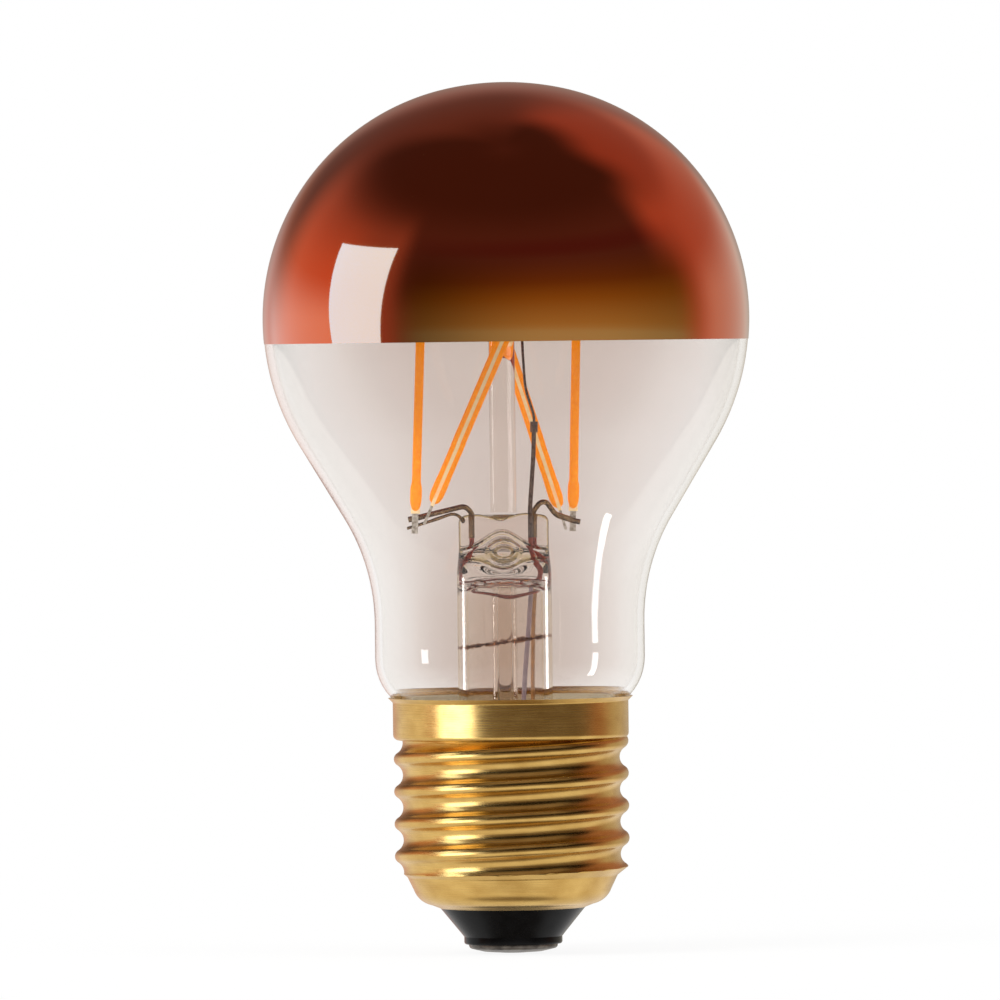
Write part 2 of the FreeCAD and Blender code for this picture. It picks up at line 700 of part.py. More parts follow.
def wire_path(points, tightest):
    """A line of straight runs with a tangent arc at each bend, drawn no wider than asked."""
    edges = []
    last = points[0]
    for before, corner, after in zip(points, points[1:], points[2:]):
        towards = corner - before
        away = after - corner
        turn = towards.getAngle(away)
        setback = RUN_SHARE * min(towards.Length, away.Length)
        if tightest:
            setback = min(setback, tightest * math.tan(turn / 2))
        towards.normalize()
        away.normalize()
        radius = setback / math.tan(turn / 2)
        inward = (away - towards).normalize()
        centre = corner + inward * (radius / math.cos(turn / 2))
        start = corner - towards * setback
        end = corner + away * setback
        edges.append(Part.LineSegment(last, start).toShape())
        edges.append(Part.Arc(start, centre - inward * radius, end).toShape())
        last = end
    edges.append(Part.LineSegment(last, points[-1]).toShape())
    return Part.Wire(edges)


def wire_solid(points, diameter, bend=None):
    """A round wire along a path, with open bends or with bends of a set radius."""
    path = wire_path(points, bend)
    section = Part.Wire(Part.makeCircle(diameter / 2, points[0], points[1] - points[0]))
    return path.makePipeShell([section], True, False)


def mount_feature(label, shape):
    """A shaped sub-part of the glass mount."""
    feature = doc.addObject("Part::Feature", label)
    feature.Label = label
    feature.Shape = shape
    feature.Placement = FreeCAD.Placement(FreeCAD.Vector(), FreeCAD.Rotation())
    return on_mount(feature)


def place(x, y, z):
    """A point of the glass mount."""
    return FreeCAD.Vector(x, y, z)


press_top = worth(PRESS_TOP)
seal_joint = press_top - worth("Dim.seal_joint_depth")
left_x = worth(f"Dim.left_seal_inset - {PRESS_SIDE}")
right_x = worth(f"{PRESS_SIDE} - Dim.right_seal_inset")
riser_x = worth(f"{PRESS_SIDE} - Dim.riser_seal_inset")
seal_y = worth("Dim.seal_wire_depth")
arm_wire = worth("Dim.arm_wire_diameter")
riser_wire = worth("Dim.riser_diameter")
riser_top_wire = worth("Dim.riser_top_diameter")
seal_wire = worth("Dim.seal_wire_diameter")
strand = worth("Dim.strand_diameter")
lead_wire = worth("Dim.lead_wire_diameter")
wire_gap = worth("Dim.wire_gap")

# Light strips: where each stands, by its foot and its head on the mount

strip_length = worth("Dim.strip_length")
STRIPS = {
    "left_upright": ((-9.8, -3.8, 0.3), (-8.5, -2.6), 90),
    "left_slanted": ((-7.84, -3.4, 1.1), (5.5, -2.2), 0),
    "right_slanted": ((6.27, 3.4, 0.4), (-3.65, 2.2), 0),
    "right_upright": ((7.84, 3.8, 0.3), (8.8, 2.6), 90),
}


def strip_line(name):
    """The foot of a strip and the unit direction in which it rises."""
    (foot_x, foot_y, foot_z), (head_x, head_y), _ = STRIPS[name]
    run_x = head_x - foot_x
    run_y = head_y - foot_y
    rise = math.sqrt(strip_length ** 2 - run_x ** 2 - run_y ** 2)
    foot = place(foot_x, foot_y, press_top + foot_z)
    return foot, place(run_x, run_y, rise).normalize()


def strip_point(name, along):
    """A point on a strip's centre line, measured from its foot."""
    foot, direction = strip_line(name)
    return foot + direction * along


def strip_placement(name):
    """The frame of a strip: its length on Z and its coated sides facing along X, then rolled."""
    foot, direction = strip_line(name)
    turn = FreeCAD.Rotation(AXIS, direction) * FreeCAD.Rotation(AXIS, STRIPS[name][2])
    foot.x += worth("Dim.mount_offset")
    return FreeCAD.Placement(foot, turn)


COAT_HALF = "(Dim.carrier_thickness/2 + Dim.coat_depth)"
STRIP_END = "(Dim.strip_length - Dim.coat_end_length)"
END_TAPER = "(Dim.coat_end_width/2)"


def strip_box(label, stands, thickness, width, length, start):
    """A flat bar along a strip's centre line."""
    bar = doc.addObject("Part::Box", label)
    bar.Label = label
    bar.setExpression("Length", thickness)
    bar.setExpression("Width", width)
    bar.setExpression("Height", length)
    corner = place(-worth(thickness) / 2, -worth(width) / 2, worth(start))
    bar.Placement = stands * FreeCAD.Placement(corner, FreeCAD.Rotation())
    return bar


def coat_blank(name, stands):
    """The coating before the carrier is let into it: a long bar, thicker at both ends."""
    sleeve = new_body(f"coat_blank_{name}")
    outline = body_sketch(sleeve, f"coat_outline_{name}", [
        ("0", "0"),
        ("Dim.coat_end_width/2", END_TAPER),
        ("Dim.coat_end_width/2", "Dim.coat_end_length"),
        ("Dim.strip_width/2", f"Dim.coat_end_length + {END_TAPER}"),
        ("Dim.strip_width/2", f"{STRIP_END} - {END_TAPER}"),
        ("Dim.coat_end_width/2", STRIP_END),
        ("Dim.coat_end_width/2", f"Dim.strip_length - {END_TAPER}"),
        ("0", "Dim.strip_length"),
        ("Dim.coat_end_width/-2", f"Dim.strip_length - {END_TAPER}"),
        ("Dim.coat_end_width/-2", STRIP_END),
        ("Dim.strip_width/-2", f"{STRIP_END} - {END_TAPER}"),
        ("Dim.strip_width/-2", f"Dim.coat_end_length + {END_TAPER}"),
        ("Dim.coat_end_width/-2", "Dim.coat_end_length"),
        ("Dim.coat_end_width/-2", END_TAPER),
    ], "YZ_Plane")
    bar = sleeve.newObject("PartDesign::Pad", f"coat_bar_{name}")
    bar.Profile = outline
    bar.setExpression("Length", f"2*{COAT_HALF}")
    bar.Midplane = True
    sleeve.Placement = stands
    return sleeve


sub_parts = [glass_envelope, crown_mirror, cap_shell, cap_insulator, centre_contact, basing_cement]
foot_tabs = []
head_tabs = []
for name in STRIPS:
    stands = strip_placement(name)
    carrier = strip_box(
        f"strip_carrier_{name}", stands, "Dim.carrier_thickness", "Dim.strip_width",
        "Dim.strip_length + 2*Dim.carrier_end", "0 - Dim.carrier_end",
    )
    coat = doc.addObject("Part::Cut", f"strip_coat_{name}")
    coat.Label = f"strip_coat_{name}"
    coat.Base = coat_blank(name, stands)
    coat.Tool = carrier
    sub_parts += [carrier, coat]
    for tabs, start in (
        (foot_tabs, "0 - Dim.carrier_end - Dim.tab_length"),
        (head_tabs, "Dim.strip_length + Dim.carrier_end"),
    ):
        tabs.append(strip_box(
            f"tab_{name}_{len(tabs)}_{start[0]}", stands, "Dim.tab_thickness", "Dim.tab_width",
            "Dim.tab_length", start,
        ))
for label, tabs in (("strip_foot_tabs", foot_tabs), ("strip_head_tabs", head_tabs)):
    group = doc.addObject("Part::Compound", label)
    group.Label = label
    group.Links = tabs
    sub_parts.append(group)

# Mount wires: the arms under the strips, the riser, and one wire over the strips' heads.
# Their points are chosen by eye, each from the press, a seal wire or a strip's end.

tab_start = worth("Dim.carrier_end")
tab_end = strip_length + worth("Dim.carrier_end + Dim.tab_length")
tight_bend = 2 * arm_wire
behind_tab = place(0, worth("Dim.tab_thickness/2") + arm_wire / 2 + wire_gap, 0)
above_tab = place(0, 0, arm_wire / 2 + 2 * wire_gap)
ROD_HEAD = "(Dim.rod_radius + Dim.rod_head_swell)"
rod_head_radius = worth(ROD_HEAD)
rod_head = worth(f"{ROD_TOP} - {ROD_HEAD}")

left_hold = strip_point("left_upright", -tab_start) + behind_tab - place(0, 0, 0.5)
left_arm = [
    place(left_x, 0, seal_joint),
    place(left_x, 0, press_top - 0.1),
    place(left_x - 0.8, -0.3, press_top + 0.75),
    left_hold,
    left_hold - place(0.8, 0, 0.15),
]
left_strand = [
    place(left_x - 0.8, -0.6, press_top - 1.0),
    place(left_x - 1.9, -1.0, press_top),
    left_hold - place(0.9, 0, 1.1),
]
right_hold = strip_point("right_upright", -tab_start) - behind_tab - place(0, 0, 1.0)
right_arm = [
    place(right_x, seal_y, seal_joint),
    place(right_x, seal_y, press_top),
    place(right_x + 0.8, seal_y + 0.2, press_top + 1.05),
    place(right_x + 1.5, seal_y + 0.6, press_top + 1.1),
    place(right_x + 2.5, seal_y + 1.6, press_top - 0.3),
    right_hold,
    right_hold + place(0.8, 0, -0.15),
]
riser_weld_height = 9.3
riser = [
    place(riser_x, -seal_y, seal_joint),
    place(riser_x, -seal_y, press_top + 0.3),
    place(riser_x + 0.22, -seal_y - 0.05, press_top + 3.2),
    place(riser_x + 0.5, -seal_y - 0.1, press_top + 6.8),
    place(riser_x + 0.58, -seal_y - 0.15, press_top + riser_weld_height),
]
riser_run = (riser[-1] - riser[-2]).normalize()
head_wire = [
    strip_point("left_upright", tab_end) + above_tab - place(0.6, 0.6, 0),
    strip_point("left_upright", tab_end) + above_tab,
    strip_point("right_slanted", tab_end) + above_tab,
    place(0, 0, rod_head),
    strip_point("left_slanted", tab_end) + above_tab,
    strip_point("right_upright", tab_end) + above_tab,
    strip_point("right_upright", tab_end) + above_tab + place(0.3, 0.6, 0),
]
head_run = (head_wire[4] - head_wire[3]).normalize()
riser_top = [
    riser[-1],
    riser[-1] + riser_run * 1.3,
    place(riser_x - 0.35, -seal_y - 0.2, press_top + 13.7),
    place(riser_x - 0.49, -seal_y - 0.2, press_top + 16.1),
    place(riser_x - 0.65, -seal_y - 0.2, press_top + 19.2),
    head_wire[3] + head_run * (rod_head_radius + riser_wire) - place(0, 0, arm_wire / 2 + wire_gap),
]

left_arm_wire = mount_feature("left_arm_wire", wire_solid(left_arm, arm_wire, tight_bend))
left_arm_strand = mount_feature("left_arm_strand", wire_solid(left_strand, strand))
right_arm_wire = mount_feature("right_arm_wire", wire_solid(right_arm, arm_wire, tight_bend))
riser_lower_wire = mount_feature("riser_lower_wire", wire_solid(riser, riser_wire))
riser_upper_wire = mount_feature("riser_upper_wire", wire_solid(riser_top, riser_top_wire))
top_head_wire = mount_feature("top_head_wire", wire_solid(head_wire, arm_wire, tight_bend))

weld_sleeve = Part.makeCylinder(
    (riser_wire + strand) / 2, 2 * arm_wire, riser[-1] - riser_run * (strand + wire_gap), riser_run,
)
for wire in (riser_lower_wire, riser_upper_wire):
    bare = wire.Shape.copy()
    bare.Placement = FreeCAD.Placement()
    weld_sleeve = weld_sleeve.cut(bare)
riser_weld = mount_feature("riser_weld", weld_sleeve)

# Seal wires: copper-clad wire that runs through the pressed glass without a leak

seal_end = worth(CAVITY_TOP) - seal_wire
seal_straight = place(0, 0, -2 * seal_wire)


def seal_route(top, slant, foot):
    """A seal wire's points: straight down from its joint, then slanting, then out of the glass."""
    return [
        top,
        top + seal_straight,
        place(top.x + slant, top.y, (top.z + seal_end) / 2 + seal_straight.z),
        place(top.x + foot[0], top.y + foot[1], seal_end),
    ]


left_seal = seal_route(left_arm[0], -0.25, (-0.2, 0))
riser_seal = seal_route(riser[0], 0.25, (0.05, -0.3))
right_seal = seal_route(right_arm[0], 0.4, (0.35, 0.2))
seal_wire_left = mount_feature("seal_wire_left", wire_solid(left_seal, seal_wire))
seal_wire_riser = mount_feature("seal_wire_riser", wire_solid(riser_seal, seal_wire))
seal_wire_right = mount_feature("seal_wire_right", wire_solid(right_seal, seal_wire))

# Wires in the stem: a jumper that joins both arms, and two leads down to the driver

EXHAUST_RADIUS = "(Dim.exhaust_bore_radius + Dim.exhaust_wall)"
BOARD_FRONT = f"({EXHAUST_RADIUS} + Dim.board_clearance)"
exhaust_clear = worth(EXHAUST_RADIUS) + lead_wire
bore_side = worth(BORE) - lead_wire / 2 - wire_gap
lead_end = worth(f"{FLANGE_TOP} + Dim.board_rise") - lead_wire
board_face = worth(BOARD_FRONT) - lead_wire / 2
neck_end = worth(NECK_END)
upper_bend = seal_end - 0.2 * (seal_end - neck_end)
lower_bend = seal_end - 0.6 * (seal_end - neck_end)
below_seal = place(0, 0, -lead_wire / 5)
jumper = [
    left_seal[-1] + below_seal,
    left_seal[-1] + place(0.1, -0.1, -0.8),
    place(-1.6, -exhaust_clear, seal_end - 1.3),
    place(0.4, -exhaust_clear - 0.1, seal_end - 1.9),
    place(2.2, -exhaust_clear, seal_end - 1.5),
    place(bore_side - 0.3, -1.2, seal_end - 1.0),
    place(bore_side, 0.0, seal_end - 0.7),
    right_seal[-1] + place(0.2, -0.45, -0.3),
]
riser_lead = [
    riser_seal[-1] + below_seal,
    place(riser_x - 0.25, -1.0, upper_bend),
    place(1.9, -1.9, lower_bend),
    place(1.9, -1.9, neck_end),
    place(3.4, board_face, lead_end),
]
arm_lead = [
    right_seal[-1] + below_seal,
    place(right_x, 1.0, upper_bend),
    place(right_x - 0.2, 1.2, lower_bend),
    place(right_x + 0.2, 1.4, neck_end),
    place(5.4, board_face, lead_end),
]
stem_jumper = mount_feature("stem_jumper", wire_solid(jumper, lead_wire))
lead_wire_riser = mount_feature("lead_wire_riser", wire_solid(riser_lead, lead_wire))
lead_wire_arms = mount_feature("lead_wire_arms", wire_solid(arm_lead, lead_wire))

# The stem's glass is sealed round every wire that enters it

sealed_in = doc.addObject("Part::Compound", "sealed_in")
sealed_in.Links = [
    left_arm_wire, left_arm_strand, right_arm_wire, riser_lower_wire,
    seal_wire_left, seal_wire_riser, seal_wire_right,
]
stem = doc.addObject("Part::Cut", "stem_flare")
stem.Label = "stem_flare"
stem.Base = on_mount(stem_body)
stem.Tool = sealed_in

# Exhaust tube: the thin tube through which the bulb was emptied and filled, melted shut below

EXHAUST_TIP = f"({FLANGE_TOP} + Dim.exhaust_tip_rise)"
TIP_END = f"({EXHAUST_TIP} + Dim.exhaust_tip_length)"
exhaust_tube = on_mount(turned_body("exhaust_tube", [
    ("Dim.exhaust_bore_radius", CAVITY_TOP),
    ("Dim.exhaust_bore_radius", f"{TIP_END} + Dim.exhaust_bore_radius"),
    ("0", TIP_END),
    ("0", EXHAUST_TIP),
    ("Dim.exhaust_tip_radius", f"{EXHAUST_TIP} + Dim.exhaust_tip_round"),
    (EXHAUST_RADIUS, TIP_END),
    (EXHAUST_RADIUS, CAVITY_TOP),
]))

# Centre rod: a glass rod fused to the press, its head melted round the head wire

rod_blank = on_mount(turned_body("rod_blank", [
    ("0", PRESS_TOP),
    ("Dim.rod_radius", PRESS_TOP),
    (
        "Dim.rod_radius",
        f"{ROD_TOP} - {ROD_HEAD} - sqrt({ROD_HEAD}^2 - Dim.rod_radius^2)",
        ROD_HEAD,
        1,
    ),
    ("0", ROD_TOP),
]))
centre_rod = doc.addObject("Part::Cut", "centre_rod")
centre_rod.Label = "centre_rod"
centre_rod.Base = rod_blank
centre_rod.Tool = top_head_wire

sub_parts += [
    left_arm_wire, left_arm_strand, right_arm_wire, riser_lower_wire, riser_upper_wire,
    riser_weld, top_head_wire, seal_wire_left, seal_wire_riser,
    seal_wire_right, stem_jumper, lead_wire_riser, lead_wire_arms, stem, exhaust_tube, centre_rod,
]

# Driver board: stands on the insulator's flange, behind the exhaust tip

BOARD_BACK = f"({BOARD_FRONT} + Dim.board_thickness)"
BOARD_SIDE = "(Dim.thread_root_radius - Dim.shell_wall - Dim.board_side_gap)"
CHIP_EDGE = f"Dim.chip_inset - {BOARD_SIDE}"


def board_box(label, length, width, height, x, y, z):
    """A square-cornered sub-part placed by its lowest corner."""
    box = doc.addObject("Part::Box", label)
    box.Label = label
    for side, size in (("Length", length), ("Width", width), ("Height", height)):
        box.setExpression(side, size)
    for axis, at in (("x", x), ("y", y), ("z", z)):
        box.setExpression(f".Placement.Base.{axis}", at)
    return box


def board_cylinder(label, radius, length, x, y, z, axis):
    """A round sub-part placed by the middle of its first end."""
    can = doc.addObject("Part::Cylinder", label)
    can.Label = label
    can.setExpression("Radius", radius)
    can.setExpression("Height", length)
    can.Placement = FreeCAD.Placement(FreeCAD.Vector(), FreeCAD.Rotation(AXIS, axis))
    for name, at in (("x", x), ("y", y), ("z", z)):
        can.setExpression(f".Placement.Base.{name}", at)
    return can


FORWARD = FreeCAD.Vector(0, -1, 0)

driver_board = board_box(
    "driver_board", f"2*{BOARD_SIDE}", "Dim.board_thickness", "Dim.board_rise",
    f"0 - {BOARD_SIDE}", BOARD_FRONT, FLANGE_TOP,
)
bridge_rectifier = board_box(
    "bridge_rectifier", "Dim.chip_width", "Dim.chip_depth", "Dim.chip_rise",
    CHIP_EDGE, f"{BOARD_FRONT} - Dim.chip_depth", f"{FLANGE_TOP} + Dim.rectifier_height",
)
driver_chip = board_box(
    "driver_chip", "Dim.chip_width", "Dim.chip_depth", "Dim.chip_rise",
    CHIP_EDGE, BOARD_BACK, f"{FLANGE_TOP} + Dim.chip_height",
)
choke = board_cylinder(
    "choke", "Dim.choke_radius", "Dim.choke_length",
    f"{BOARD_SIDE} - Dim.choke_radius - Dim.choke_inset", BOARD_FRONT,
    f"{FLANGE_TOP} + Dim.choke_radius + Dim.choke_height", FORWARD,
)

# The capacitor touches the board and the middle plane, and clears the drum of the shell

CAN_REACH = f"({FOOT_RADIUS} - Dim.shell_wall - Dim.capacitor_clearance)"
CAN_RADIUS = (
    f"(sqrt(2*{CAN_REACH}*({CAN_REACH} + {BOARD_BACK})) - {CAN_REACH} - {BOARD_BACK})"
)
smoothing_capacitor = board_cylinder(
    "smoothing_capacitor", CAN_RADIUS, "Dim.capacitor_length", CAN_RADIUS,
    f"{BOARD_BACK} + {CAN_RADIUS}", f"{FLANGE_TOP} + Dim.capacitor_height", AXIS,
)

# Fuse resistor: an axial resistor in line with the centre contact

resistor_radius = worth("Dim.resistor_radius")
resistor_length = worth("Dim.resistor_length")
resistor_reach = worth("Dim.resistor_reach")
resistor_lead = worth("Dim.resistor_lead")
resistor_foot = FreeCAD.Vector(
    -resistor_reach, -resistor_reach, worth(f"{FLANGE_TOP} + Dim.resistor_height"),
)
resistor_head = resistor_foot + AXIS * resistor_length
contact_lead = [
    FreeCAD.Vector(0, 0, worth(CONTACT_TOP)),
    FreeCAD.Vector(0, 0, worth(INSULATOR_STEP) + resistor_lead),
    resistor_foot - AXIS * resistor_lead,
    resistor_foot,
]
board_lead = [
    resistor_head,
    resistor_head + AXIS * resistor_lead,
    FreeCAD.Vector(-resistor_reach, worth(BOARD_FRONT), resistor_head.z + resistor_lead),
]
resistor_body = Part.makeCylinder(resistor_radius, resistor_length, resistor_foot, AXIS)
fuse_resistor = doc.addObject("Part::Feature", "fuse_resistor")
fuse_resistor.Label = "fuse_resistor"
fuse_resistor.Shape = resistor_body.fuse([
    wire_solid(contact_lead, lead_wire), wire_solid(board_lead, lead_wire),
])

# Shell wire: from the board's edge to the inside of the brass shell

shell_inside = worth("Dim.thread_root_radius - Dim.shell_wall")
board_edge = worth(BOARD_SIDE)
board_middle = worth(f"({BOARD_FRONT} + {BOARD_BACK})/2")
shell_wire_end = math.sqrt(shell_inside ** 2 - board_middle ** 2) - 2 * wire_gap
shell_wire_run = shell_wire_end - board_edge
shell_wire_height = lead_end - shell_wire_run / 2
shell_wire = doc.addObject("Part::Feature", "shell_wire")
shell_wire.Label = "shell_wire"
shell_wire.Shape = wire_solid([
    FreeCAD.Vector(board_edge, board_middle, shell_wire_height),
    FreeCAD.Vector(board_edge + 0.4 * shell_wire_run, board_middle, shell_wire_height),
    FreeCAD.Vector(board_edge + 0.6 * shell_wire_run, board_middle, shell_wire_height - lead_wire),
    FreeCAD.Vector(shell_wire_end, board_middle, shell_wire_height - lead_wire),
], lead_wire)

sub_parts += [
    driver_board, bridge_rectifier, driver_chip, choke, smoothing_capacitor, fuse_resistor,
    shell_wire,
]
doc.recompute()

# Every object must be sound before anything is written

faults = [
    item.Name for item in doc.Objects
    if "Invalid" in item.State or "Error" in item.State
]
faults += [
    item.Label for item in sub_parts
    if item.Shape.isNull() or not item.Shape.isValid()
]
if faults:
    raise RuntimeError("These did not build: " + ", ".join(faults))

os.makedirs("parts", exist_ok=True)
for item in sub_parts:
    item.Shape.exportStep(f"parts/{item.Label}.step")
    print(f"{item.Label}: {len(item.Shape.Solids)} solid, {item.Shape.Volume:.2f} mm3")
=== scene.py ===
import math

import bmesh
import bpy
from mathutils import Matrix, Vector


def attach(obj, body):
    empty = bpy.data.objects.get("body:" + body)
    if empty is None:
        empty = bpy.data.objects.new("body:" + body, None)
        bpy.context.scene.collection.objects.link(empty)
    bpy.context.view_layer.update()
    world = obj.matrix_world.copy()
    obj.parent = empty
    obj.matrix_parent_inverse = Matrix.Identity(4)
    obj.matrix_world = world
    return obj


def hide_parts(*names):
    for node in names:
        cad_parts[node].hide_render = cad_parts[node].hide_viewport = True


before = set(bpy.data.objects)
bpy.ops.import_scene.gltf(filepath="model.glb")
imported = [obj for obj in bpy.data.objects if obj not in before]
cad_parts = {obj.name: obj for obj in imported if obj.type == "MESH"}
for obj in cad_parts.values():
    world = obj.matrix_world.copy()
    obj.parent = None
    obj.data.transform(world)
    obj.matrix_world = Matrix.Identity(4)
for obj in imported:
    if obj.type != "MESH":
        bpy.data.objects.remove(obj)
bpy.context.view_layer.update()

# Brass screw shell
# The 27 mm Edison shell is brass strip 0.3 mm thick, drawn into a cup and rolled between two
# dies. That leaves a thin wall with the thread on both sides, and fine lines around it.

MM = 0.001
SHELL_WALL = 0.3
SHELL_OUTLINE = [
    (8.1, 5.0),
    (9.1, 5.4, 2.6, 1),
    (11.05, 7.05),
    (11.8, 8.6),
    (12.15, 8.95),
    (12.15, 23.9),
    (12.6, 23.9, 0.6, 1),
    (13.2, 24.5),
    (13.2, 28.1),
    (13.7, 28.6),
]
SHELL_INSIDE = [
    (8.1, 5.0 + SHELL_WALL),
    (9.1, 5.4 + SHELL_WALL, 2.6 - SHELL_WALL, 1),
    (11.05 - SHELL_WALL, 7.05),
    (11.8 - SHELL_WALL, 8.6),
    (12.15 - SHELL_WALL, 8.95),
    (12.15 - SHELL_WALL, 23.9 + SHELL_WALL),
    (12.6 - SHELL_WALL, 23.9 + SHELL_WALL, 0.6, 1),
    (13.2 - SHELL_WALL, 24.5 + SHELL_WALL),
    (13.2 - SHELL_WALL, 28.1),
    (13.7 - SHELL_WALL, 28.6),
]
SHELL_AROUND = 160
THREAD_SIZES = {
    "Pitch": 3.629,
    "Start Height": 5.43,
    "Root Radius": 12.15,
    "Ridge Height": 1.0,
    "Crest Bend": 0.8,
    "Root Bend": 1.346,
    "Crest Reach": 0.676,
    "Fade Height": 8.3,
    "Fade Radius": 11.44,
    "Fade Slope": 1.29,
}


def sample(corners, step, split=False):
    """Points along an outline in mm. A corner is (r, z), or (r, z, radius, side) where an arc
    runs to the next corner. Side 1 has the arc's centre on the left of the way there."""
    points = []
    for here, there in zip(corners, corners[1:]):
        start = Vector(here[:2])
        chord = Vector(there[:2]) - start
        if len(here) == 2:
            parts = max(1, math.ceil(chord.length / step)) if split else 1
            points += [start + chord * (i / parts) for i in range(parts)]
            continue
        radius, side = here[2:]
        left = Vector((-chord.y, chord.x)).normalized() * side
        centre = start + chord / 2 + left * math.sqrt(radius ** 2 - chord.length ** 2 / 4)
        sweep = 2 * math.asin(chord.length / 2 / radius) * side
        first = start - centre
        parts = max(3, math.ceil(radius * abs(sweep) / step))
        for i in range(parts):
            turn = sweep * i / parts
            points.append(centre + Vector((
                first.x * math.cos(turn) - first.y * math.sin(turn),
                first.x * math.sin(turn) + first.y * math.cos(turn),
            )))
    points.append(Vector(corners[-1][:2]))
    return points


def turned(points, around):
    """A closed mesh of revolution about Z from a closed outline in mm. A point on the axis is
    one vertex."""
    mesh = bmesh.new()
    rings = []
    for r, z in points:
        count = 1 if r < 1e-6 else around
        rings.append([
            mesh.verts.new((
                r * MM * math.cos(math.tau * i / around),
                r * MM * math.sin(math.tau * i / around),
                z * MM,
            ))
            for i in range(count)
        ])
    for low, high in zip(rings, rings[1:] + rings[:1]):
        for i in range(around):
            j = (i + 1) % around
            corners = list(dict.fromkeys((
                low[i % len(low)], low[j % len(low)], high[j % len(high)], high[i % len(high)],
            )))
            if len(corners) > 2:
                mesh.faces.new(corners)
    bmesh.ops.recalc_face_normals(mesh, faces=mesh.faces)
    return mesh


def piece(name, mesh, material, node, sharp):
    """Make a finished mesh a piece that stands for a CAD node. It is shaded smooth, apart from
    edges sharper than this many degrees."""
    data = mesh
    if isinstance(mesh, bmesh.types.BMesh):
        data = bpy.data.meshes.new(name)
        mesh.to_mesh(data)
        mesh.free()
    data.shade_smooth()
    data.set_sharp_from_angle(angle=math.radians(sharp))
    data.materials.clear()
    data.materials.append(material)
    made = bpy.data.objects.new(name, data)
    bpy.context.scene.collection.objects.link(made)
    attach(made, "root")
    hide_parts(node)
    return made


def linear(code):
    """An sRGB hex colour as the linear colour that a shader takes."""
    parts = [int(code[i:i + 2], 16) / 255 for i in (1, 3, 5)]
    return (*(
        part / 12.92 if part <= 0.04045 else ((part + 0.055) / 1.055) ** 2.4 for part in parts
    ), 1.0)


def add(tree, kind, inputs=None, stops=(), **settings):
    """Add one node with its settings. An input is given a socket to take from or a plain value,
    and a colour ramp is given its stops as (position, hex colour)."""
    node = tree.nodes.new(kind)
    for key, value in settings.items():
        setattr(node, key, value)
    for key, value in (inputs or {}).items():
        if isinstance(value, bpy.types.NodeSocket):
            tree.links.new(value, node.inputs[key])
        else:
            node.inputs[key].default_value = value
    for number, (position, code) in enumerate(stops):
        marks = node.color_ramp.elements
        mark = marks[number] if number < 2 else marks.new(position)
        mark.position = position
        mark.color = linear(code)
    return node


def finish(name, **shader_values):
    """A new material: its tree, its Principled shader and the Object coordinates."""
    material = bpy.data.materials.new(name)
    material.use_nodes = True
    tree = material.node_tree
    tree.nodes.clear()
    shader = add(tree, "ShaderNodeBsdfPrincipled", {
        key.replace("_", " "): value for key, value in shader_values.items()
    })
    add(tree, "ShaderNodeOutputMaterial", {"Surface": shader.outputs["BSDF"]})
    place = add(tree, "ShaderNodeTexCoord").outputs["Object"]
    return material, tree, shader, place


def speckle(tree, place, size_mm, stretch=(1, 1, 1), detail=3.0):
    """A noise pattern whose grains are about this size in mm, drawn out along an axis."""
    scale = tuple(1 / (MM * size_mm * s) for s in stretch)
    scaled = add(tree, "ShaderNodeMapping", {"Vector": place, "Scale": scale})
    noise = add(
        tree, "ShaderNodeTexNoise",
        {"Vector": scaled.outputs["Vector"], "Scale": 1.0, "Detail": detail},
    )
    return noise.outputs["Fac"]


def tint(tree, shader, pattern, *stops):
    """Colour a shader by a pattern. A stop is (position, hex colour)."""
    ramp = add(tree, "ShaderNodeValToRGB", {"Fac": pattern}, stops)
    tree.links.new(ramp.outputs["Color"], shader.inputs["Base Color"])


def relief(tree, shader, pattern, depth_mm, strength):
    """Raise a shader's surface by up to this many mm where a pattern is high."""
    bump = add(
        tree, "ShaderNodeBump",
        {"Height": pattern, "Distance": depth_mm * MM, "Strength": strength},
    )
    tree.links.new(bump.outputs["Normal"], shader.inputs["Normal"])


# Rolled brass: bright where the die burnished it, with lines around it from the rolling. Real
# lines are finer than a pixel, so these are as coarse as they need to be to show.
rolled_brass, tree, shader, place = finish("rolled_brass", Metallic=1.0)
tarnish = speckle(tree, place, 3.0, (1, 1, 0.6))
tint(tree, shader, tarnish, (0.3, "#C79F58"), (0.7, "#DCB66C"))
rolling = speckle(tree, place, 0.12, (40, 40, 1), 2.0)
relief(tree, shader, rolling, 0.012, 0.5)
rough = add(tree, "ShaderNodeMapRange", {"Value": rolling, "To Min": 0.2, "To Max": 0.34})
tree.links.new(rough.outputs["Result"], shader.inputs["Roughness"])

outer_rows = sample(SHELL_OUTLINE, 0.09, split=True)
inner_rows = sample(SHELL_INSIDE, 0.16, split=True)
blank = turned(outer_rows + inner_rows[::-1], SHELL_AROUND)
inset_layer = blank.verts.layers.float.new("inset")
for number, vertex in enumerate(blank.verts):
    vertex[inset_layer] = SHELL_WALL * (number >= SHELL_AROUND * len(outer_rows))
blank_mesh = bpy.data.meshes.new("shell_blank")
blank.to_mesh(blank_mesh)
blank.free()
shell_blank = bpy.data.objects.new("shell_blank", blank_mesh)
bpy.context.scene.collection.objects.link(shell_blank)

